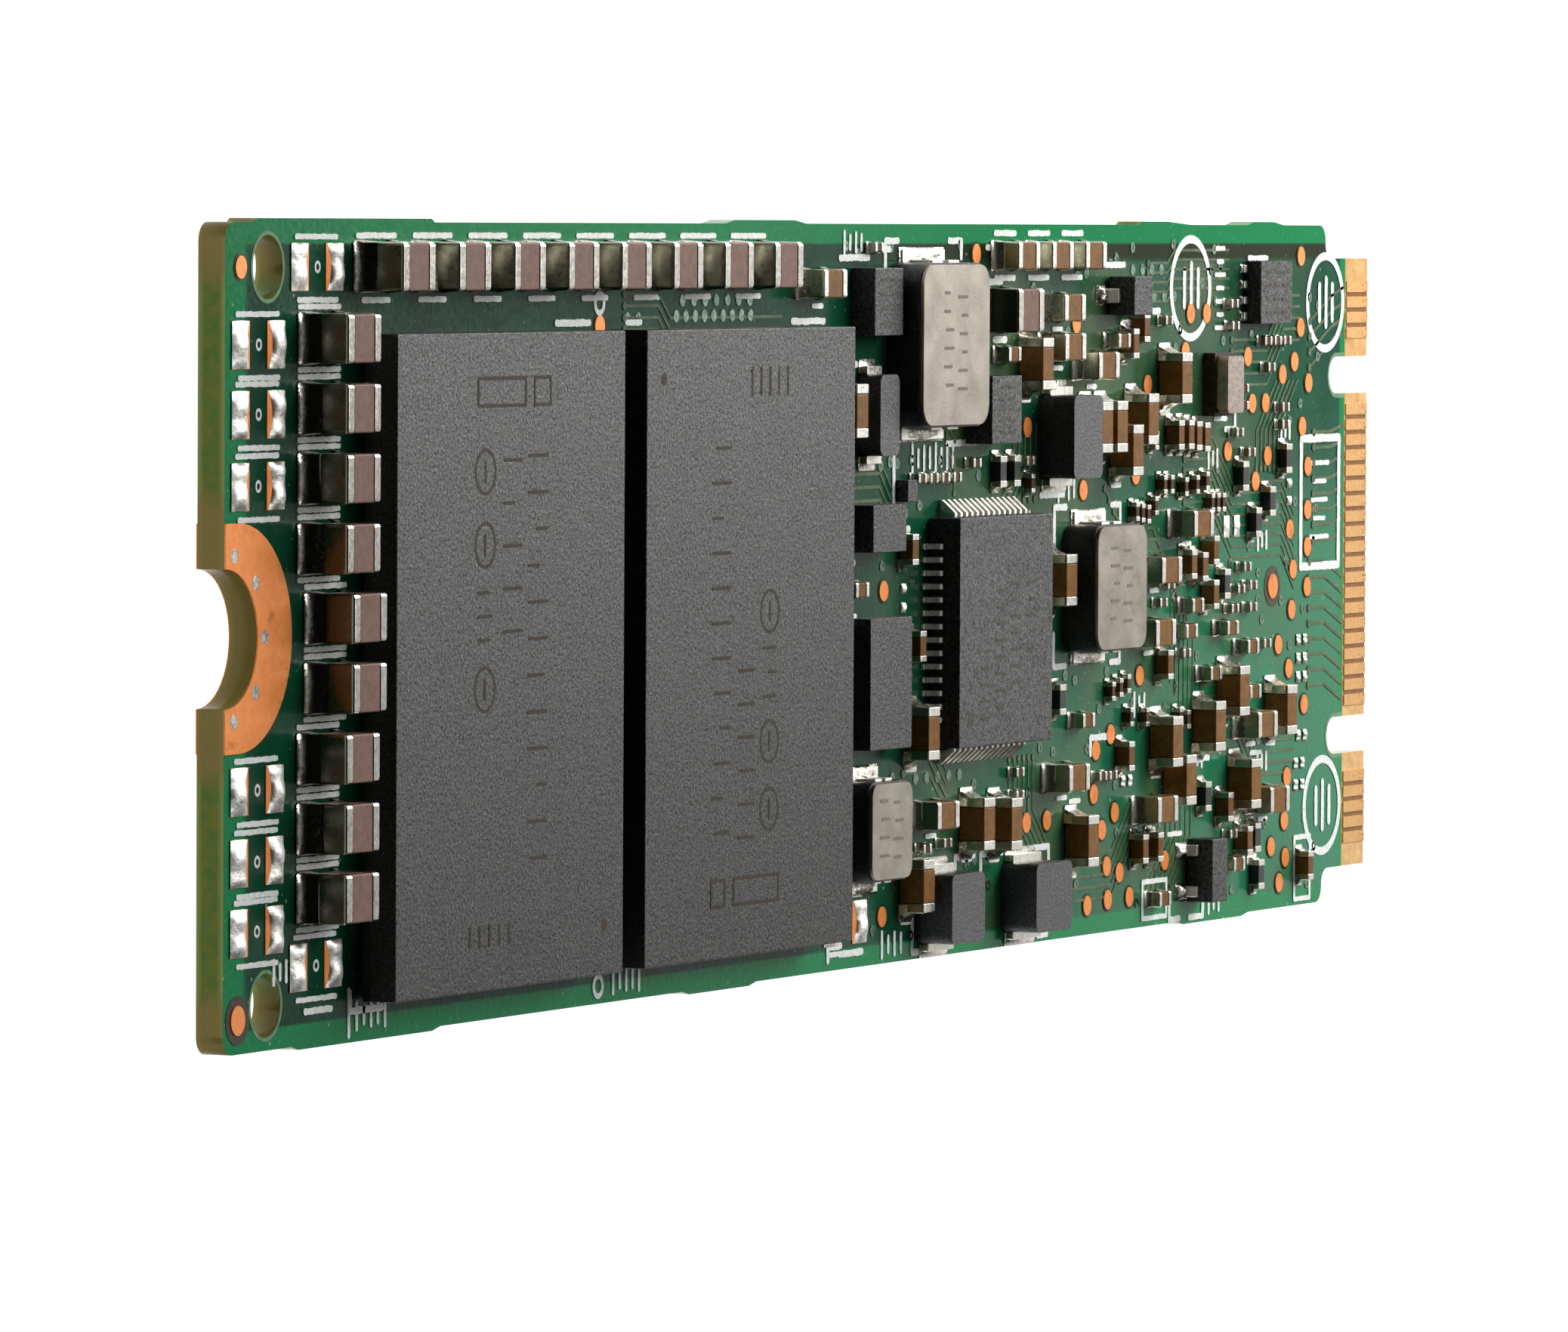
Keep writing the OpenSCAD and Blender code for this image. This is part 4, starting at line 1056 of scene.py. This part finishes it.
# How many, the step in x and y from one to the next, the end's width, and the first track's points
FRONT_TRACKS = [
    (9, 0.0, 0.4, 0.13, [(46.8, 2.9), (46.8, 3.3), (46.2, 3.9), (46.2, 4.6)]),
    (7, 0.42, 0.0, 0.14, [(50.3, 2.6), (51.2, 3.6), (51.2, 4.9)]),
    (6, 0.36, -0.36, 0.14, [(58.2, 2.8), (59.6, 1.5), (62.0, 1.5), (63.5, -0.2), (63.5, -3.4)]),
    (8, 0.0, 0.34, 0.13, [(64.5, 1.9), (66.8, 1.9), (68.4, 0.4), (72.5, 0.4), (73.6, -0.7)]),
    (7, 0.0, -0.36, 0.14, [(66.0, -3.6), (69.0, -3.6), (70.6, -5.2), (73.6, -5.2)]),
    (6, 0.4, 0.0, 0.13, [(63.2, -6.2), (63.2, -8.3), (61.4, -10.1)]),
    (5, 0.0, 0.36, 0.14, [(68.3, 5.9), (71.2, 5.9), (72.6, 7.3), (73.9, 7.3)]),
    (5, 0.0, 0.3, 0.13, [(61.5, 8.6), (63.0, 8.6), (63.6, 9.0), (68.0, 9.0)]),
    (6, 0.36, 0.0, 0.14, [(70.4, 3.2), (70.4, 4.4), (72.0, 6.0)]),
    (6, 0.0, -0.34, 0.13, [(24.0, 9.0), (26.2, 9.0), (27.0, 8.3), (34.5, 8.3)]),
    (5, 0.0, 0.4, 0.16, [(43.2, -5.4), (45.0, -5.4), (46.3, -6.6)]),
    (6, 0.36, 0.0, 0.13, [(51.0, -5.3), (51.0, -6.9), (52.3, -8.2)]),
    (5, 0.0, 0.36, 0.14, [(55.6, -9.9), (58.9, -9.9), (60.4, -8.4), (62.9, -8.4)]),
    (9, 0.0, 0.5, 0.16, [(74.9, -3.9), (76.2, -3.9), (77.7, -4.45)]),
    (8, 0.0, 0.5, 0.16, [(75.2, 0.8), (76.6, 0.8), (77.7, 1.0)]),
    (4, 0.0, 0.5, 0.16, [(74.8, 6.4), (76.6, 7.2), (77.7, 7.5)]),
    (5, 0.0, -0.4, 0.15, [(39.3, 4.0), (41.4, 4.0), (42.2, 3.2)]),
]
BACK_TRACKS = [
    (14, 0.0, 0.8, 0.14, [(37.6, -5.2), (40.6, -5.2), (41.4, -5.2)]),
    (10, 0.0, 0.7, 0.14, [(56.4, -2.6), (58.6, -2.6), (59.3, -2.6)]),
    (9, 0.0, 0.5, 0.16, [(68.0, -1.6), (71.8, -1.6), (74.6, -4.2), (77.7, -4.2)]),
    (9, 0.0, 0.5, 0.16, [(68.0, 3.0), (72.4, 3.0), (74.0, 1.4), (77.7, 1.4)]),
    (5, 0.0, 0.5, 0.16, [(67.5, 7.0), (74.0, 7.0), (74.3, 7.25), (77.7, 7.25)]),
    (6, 0.0, -0.5, 0.16, [(67.5, -6.2), (73.5, -6.2), (73.9, -6.7), (77.7, -6.7)]),
    (5, 0.5, 0.0, 0.14, [(43.0, 9.4), (43.0, 10.1), (55.0, 10.1)]),
    (5, 0.5, 0.0, 0.14, [(43.0, -9.4), (43.0, -10.1), (55.0, -10.1)]),
]


def track_bundles(rows, side, name):
    builder = Builder(side)
    for count, dx, dy, width, points in rows:
        for i in range(count):
            moved = [(x + dx * i, y + dy * i) for x, y in points]
            builder.path(moved, width * TRACK_SHARE, 0.0, TRACK_TOP)
            builder.disc(moved[0][0], moved[0][1], width * 0.9, 0.0, TRACK_TOP + 0.012, 12)
    builder.piece(name, TRACK, "laminate")


NARROW_RING = 0.07


def point_rings(node, side, name, width=NARROW_RING, material=GAP):
    """The mask opening round each round copper point, narrow at the upper tooling hole's fiducial."""
    builder = Builder(side)
    for low, high in loose_boxes(node):
        x, y = centre(low, high)
        r = (high[0] - low[0]) / 2
        band = NARROW_RING if x < HOLE_X and y > 0 else width
        builder.ring(x, y, r - 0.01, r + band, 0.0, 0.014, 28)
    builder.piece(name, material, "laminate")


def covered_places():
    """Where something lies on the board's front, as low x, high x, low y, high y."""
    taken = []
    for name in list(SHOWN) + ["spare_pads"]:
        if name.startswith("back_") or name.endswith("_back") or name in NOT_COVERING:
            continue
        for low, high in loose_boxes(name):
            if high[2] > BOARD_TOP + 0.005:
                taken.append((low[0], high[0], low[1], high[1]))
    return taken


NOT_COVERING = ("circuit_board", "flash_substrates", "flash_balls_front", "controller_balls")
VIA_COUNT = 150
VIA_TRIES = 4000


def small_vias():
    """Loose vias, most of them over the crowded end, clear of everything that is soldered on."""
    builder = Builder()
    taken = covered_places()
    tries = 0
    made = 0
    while made < VIA_COUNT and tries < VIA_TRIES:
        tries += 1
        x = RNG.uniform(42.0, 75.5) if RNG.random() < 0.82 else RNG.uniform(38.0, 44.0)
        y = RNG.uniform(-10.4, 10.4)
        if any(a - 0.3 < x < b + 0.3 and c - 0.3 < y < d + 0.3 for a, b, c, d in taken):
            continue
        taken.append((x - 0.15, x + 0.15, y - 0.15, y + 0.15))
        builder.ring(x, y, 0.07, 0.17, 0.0, 0.022, 16)
        builder.disc(x, y, 0.075, 0.0, 0.012, 12)
        made += 1
    builder.piece("small_vias", VIA_FILL, "tin")


# ---- Marks on the packages ----

MARK_T = 0.004


class Marks(Builder):
    """Shallow plain marks on the top of a front package, or on the underside of a back one."""

    def __init__(self, node):
        low, high = node_box(node)
        front = high[2] > BOARD_TOP
        super().__init__(FRONT if front else BACK)
        self.base = high[2] - BOARD_TOP if front else -low[2]

    def line(self, x0, y0, x1, y1, width=0.1):
        self.stroke(x0, y0, x1, y1, width, self.base, self.base + MARK_T)

    def dot(self, x, y, r=0.18, steps=20):
        self.ring(x, y, 0.0, r, self.base, self.base + MARK_T, steps)

    def frame(self, x0, y0, x1, y1):
        corners = [(x0, y0), (x1, y0), (x1, y1), (x0, y1), (x0, y0)]
        self.path(corners, 0.1, self.base, self.base + MARK_T)

    def row(self, x, y0, y1, height, pitch=0.95):
        """Bars of mixed lengths, in a row that runs across the card."""
        count = max(2, int(abs(y1 - y0) / pitch))
        for i in range(count + 1):
            y = y0 + (y1 - y0) * i / count
            share = RNG.choice((1.0, 1.0, 0.55, 0.8))
            shift = RNG.choice((-1, 1)) * (1 - share) * height / 2
            self.line(x + shift - height * share / 2, y, x + shift + height * share / 2, y)

    def comb(self, x, y0, y1):
        """Five short bars side by side."""
        for i in range(5):
            self.line(x + i * 0.6, y0, x + i * 0.6, y1, 0.12)

    def ringed_bars(self, x, places):
        """Rings with a bar across their middle."""
        for y in places:
            self.ring(x, y, 0.55, 0.65, self.base, self.base + MARK_T, 32)
            self.line(x, y - 0.25, x, y + 0.25, 0.12)


def front_flash_marks():
    marks = Marks("flash_package_1")
    marks.frame(12.3, 6.0, 15.2, 6.75)
    marks.frame(15.75, 6.0, 16.75, 6.75)
    marks.row(16.0, -6.5, 4.6, 1.15)
    marks.row(14.45, -0.2, 4.5, 1.1)
    marks.ringed_bars(12.75, (4.2, 2.2, -1.75))
    marks.row(12.75, 0.9, -0.4, 0.8, 0.6)
    marks.comb(11.9, -8.75, -8.25)
    marks.dot(20.25, -8.6)
    marks.dot(23.95, 6.6)
    marks.comb(29.8, 6.1, 6.85)
    marks.row(27.8, -6.4, 4.6, 1.15)
    marks.row(29.5, -6.6, -1.8, 1.0)
    marks.ringed_bars(31.05, (-0.15, -3.9, -5.85))
    marks.row(31.05, -1.2, -2.6, 0.8, 0.6)
    marks.frame(27.2, -8.5, 28.1, -7.75)
    marks.frame(28.7, -8.5, 31.7, -7.75)
    marks.piece("flash_marks_front", MARK, "mould")


def back_flash_marks():
    marks = Marks("flash_package_3")
    for x in (14.45, 29.85):
        marks.row(x + 1.4, -6.5, 4.6, 1.15)
        marks.row(x - 0.3, -1.0, 4.5, 1.1)
        marks.frame(x - 2.5, 5.6, x + 0.5, 6.4)
        marks.dot(x + 5.9, -8.6)
    marks.piece("flash_marks_back", MARK, "mould")


def lid_marks():
    marks = Marks("inductor_lids")
    for low, high in loose_boxes("inductor_lids"):
        marks.base = high[2] - BOARD_TOP
        x, y = centre(low, high)
        span = (high[1] - low[1]) / 2
        marks.row(x + 0.45, y - span * 0.55, y + span * 0.6, 0.6, 0.5)
        marks.row(x - 0.55, y - span * 0.5, y + span * 0.65, 0.6, 0.5)
    marks.piece("lid_marks", LID_MARK, "inductor_lid")


def front_chip_marks():
    marks = Marks("power_chip_body")
    x, y = POWER_MIDDLE[0], POWER_MIDDLE[1]
    for dx, low, high in ((1.8, -0.6, 1.4), (0.7, -1.6, 1.4), (-0.4, -2.3, 1.2), (-1.5, -2.6, -0.6)):
        marks.row(x + dx, y + low, y + high, 0.6, 0.5)
    marks.dot(x - 2.6, y - 2.6, 0.22)
    for node, rows in (("load_switch_chip", 2), ("gate_driver_chip", 2), ("serial_memory_chip", 3)):
        low, high = node_box(node)
        marks.base = high[2] - BOARD_TOP
        for i in range(rows):
            at = low[0] + (high[0] - low[0]) * (i + 1) / (rows + 1)
            marks.row(at, low[1] + 0.35, high[1] - 0.35, 0.4, 0.33)
    marks.piece("chip_marks_front", CHIP_MARK, "mould")


def package_marks(node, name, rows, y0, y1, height, pitch, dot):
    """Rows of bars and a corner dot on one package of the hidden face."""
    marks = Marks(node)
    for x in rows:
        marks.row(x, y0, y1, height, pitch)
    marks.dot(*dot)
    marks.piece(name, CHIP_MARK, "mould")


# ---- Hidden face ink ----


CORNER_GAP = 0.35
CORNER_ARM = 0.9
# x, y and number of strokes
BACK_LABELS = [(10.0, 9.6, 6), (26.0, 9.6, 6), (49.0, 10.5, 5), (63.0, -10.3, 5), (75.8, 0.5, 6)]


def package_corners(builder, node):
    low, high = node_box(node)
    for x, arm_x in ((low[0] - CORNER_GAP, CORNER_ARM), (high[0] + CORNER_GAP, -CORNER_ARM)):
        for y, arm_y in ((low[1] - CORNER_GAP, CORNER_ARM), (high[1] + CORNER_GAP, -CORNER_ARM)):
            ink_corner(builder, x, y, arm_x, arm_y)


def back_ink():
    builder = Builder(BACK)
    for node in ("flash_package_3", "flash_package_4", "controller_package", "working_memory_package"):
        package_corners(builder, node)
    for low, high in body_spans("back_capacitor_bodies", "back_capacitor_terminals"):
        x, y = centre(low, high)
        if high[0] - low[0] > high[1] - low[1]:
            ink_bars(builder, [(x, y + 0.68, 1.4, 0.16), (x, y - 0.68, 1.4, 0.16)])
        else:
            ink_bars(builder, [(x + 0.66, y, 1.3, 0.16, True), (x - 0.66, y, 1.3, 0.16, True)])
    for x, y, cells in BACK_LABELS:
        ink_label(builder, x, y, cells)
    ink_frame(builder, 3.4, 7.4, 5.6, 10.2)
    ink_frame(builder, 3.4, -10.2, 5.6, -7.4)
    builder.piece("silkscreen_back", INK, None)


# ---- Scene ----


def area_light(name, place_m, target_m, width, height, power, colour=(1, 1, 1)):
    data = bpy.data.lights.new(name, "AREA")
    data.shape = "RECTANGLE"
    data.size = width
    data.size_y = height
    data.energy = power
    data.color = colour
    obj = bpy.data.objects.new(name, data)
    obj.location = place_m
    obj.rotation_mode = "QUATERNION"
    obj.rotation_quaternion = (Vector(target_m) - Vector(place_m)).to_track_quat("-Z", "Y")
    obj.visible_camera = False
    bpy.context.scene.collection.objects.link(obj)


def floor_material():
    material, tree, shader = new_material("white_floor", 0.7)
    cloud = patches(tree, 0.05)
    colour_to(tree, shader, blend(tree, cloud, "#b8b8b8", "#b4b4b4"))
    shader.inputs["Emission Color"].default_value = (1, 1, 1, 1)
    shader.inputs["Emission Strength"].default_value = 1.0
    return material


FLOOR_GAP = 0.00002


def add_floor():
    size = 3.0
    z = CAD_LOW[2] - FLOOR_GAP
    mesh = bpy.data.meshes.new("studio_floor")
    corners = [(-size, -size, z), (size, -size, z), (size, size, z), (-size, size, z)]
    mesh.from_pydata(corners, [], [(0, 1, 2, 3)])
    mesh.materials.append(floor_material())
    floor = bpy.data.objects.new("studio_floor", mesh)
    bpy.context.scene.collection.objects.link(floor)


# Direction of the bright surround, beyond the contact end
BRIGHT_SIDE = (0.97, 0.24, 0.0)
DIM = 0.02
BRIGHT = 1.25
OVERHEAD = 0.22


def add_world():
    """A soft surround: bright and low beyond the contact end, faint overhead, nearly dark elsewhere."""
    world = bpy.data.worlds.new("studio")
    world.use_nodes = True
    tree = world.node_tree
    source = tree.nodes.new("ShaderNodeTexCoord").outputs["Generated"]
    toward = tree.nodes.new("ShaderNodeVectorMath")
    toward.operation = "DOT_PRODUCT"
    toward.inputs[1].default_value = Vector(BRIGHT_SIDE)
    tree.links.new(source, toward.inputs[0])
    height = parts_of(tree, source)[2]
    low_band = remap(tree, height, 0.50, 0.36)
    ahead = remap(tree, toward.outputs["Value"], 0.72, 0.90)
    panel = remap(tree, times(tree, low_band, ahead), 0.0, 1.0, DIM, BRIGHT)
    overhead = times(tree, remap(tree, height, 0.75, 0.95), OVERHEAD)
    background = tree.nodes["Background"]
    background.inputs["Color"].default_value = (1.0, 0.99, 0.97, 1)
    tree.links.new(math_node(tree, "ADD", panel, overhead), background.inputs["Strength"])
    bpy.context.scene.world = world


def add_camera():
    data = bpy.data.cameras.new("camera")
    data.lens = 255.1
    data.sensor_width = 36.0
    data.clip_start = 0.01
    data.clip_end = 20.0
    obj = bpy.data.objects.new("camera", data)
    right = Vector((0.42384, 0.00518, 0.90572))
    up = Vector((0.03461, 0.99916, -0.02191))
    back = Vector((-0.90507, 0.04064, 0.42331))
    turn = Matrix((right, up, back)).transposed()
    obj.matrix_world = Matrix.Translation((-0.25836, 0.01127, 0.13791)) @ turn.to_4x4()
    bpy.context.scene.collection.objects.link(obj)
    bpy.context.scene.camera = obj


def add_lights():
    area_light("key", (0.135, 0.055, 0.055), (0.03, 0.01, 0.0), 0.07, 0.05, 0.10, (1.0, 0.985, 0.96))
    area_light("top", (0.24, 0.12, 0.32), (0.04, 0.0, 0.0), 0.25, 0.25, 0.9)


# ---- Building everything ----

finish_cad_nodes()
pad_pairs_built = spare_pads()
solder_fillets(HOLDUP_FILLETED, FRONT, "holdup_fillets", HOLDUP_SOLDER)
solder_fillets(FILLETED, FRONT, "solder_fillets_front")
solder_fillets(BACK_FILLETED, BACK, "solder_fillets_back")
lead_solder()
contact_gap_shade()
lead_slopes(1, STRAIGHT_SLOPE, "power_lead_slopes", LEAD_TIN, False)
lead_slopes(0, ROUND_SLOPE, "power_side_slopes", POLISHED_TIN, True)
hole_rims()
front_ink(pad_pairs_built)
back_ink()
track_bundles(FRONT_TRACKS, FRONT, "tracks_front")
track_bundles(BACK_TRACKS, BACK, "tracks_back")
point_rings("test_points_front", FRONT, "test_point_rings_front")
point_rings("test_points_back", BACK, "test_point_rings_back")
point_rings("fiducials", FRONT, "fiducial_rings", 0.26, CLEARING)
small_vias()
front_flash_marks()
back_flash_marks()
lid_marks()
front_chip_marks()
package_marks("controller_package", "controller_marks", (46.0, 47.8, 49.6, 51.4),
              -4.5, 4.0, 1.1, 0.9, (43.4, -5.6, 0.35, 24))
package_marks("working_memory_package", "working_memory_marks", (61.2, 62.6, 64.0),
              -2.0, 4.0, 0.8, 0.7, (59.8, -3.2, 0.25, 24))
add_floor()
add_world()
add_lights()
add_camera()
bpy.context.scene.view_settings.view_transform = "Standard"
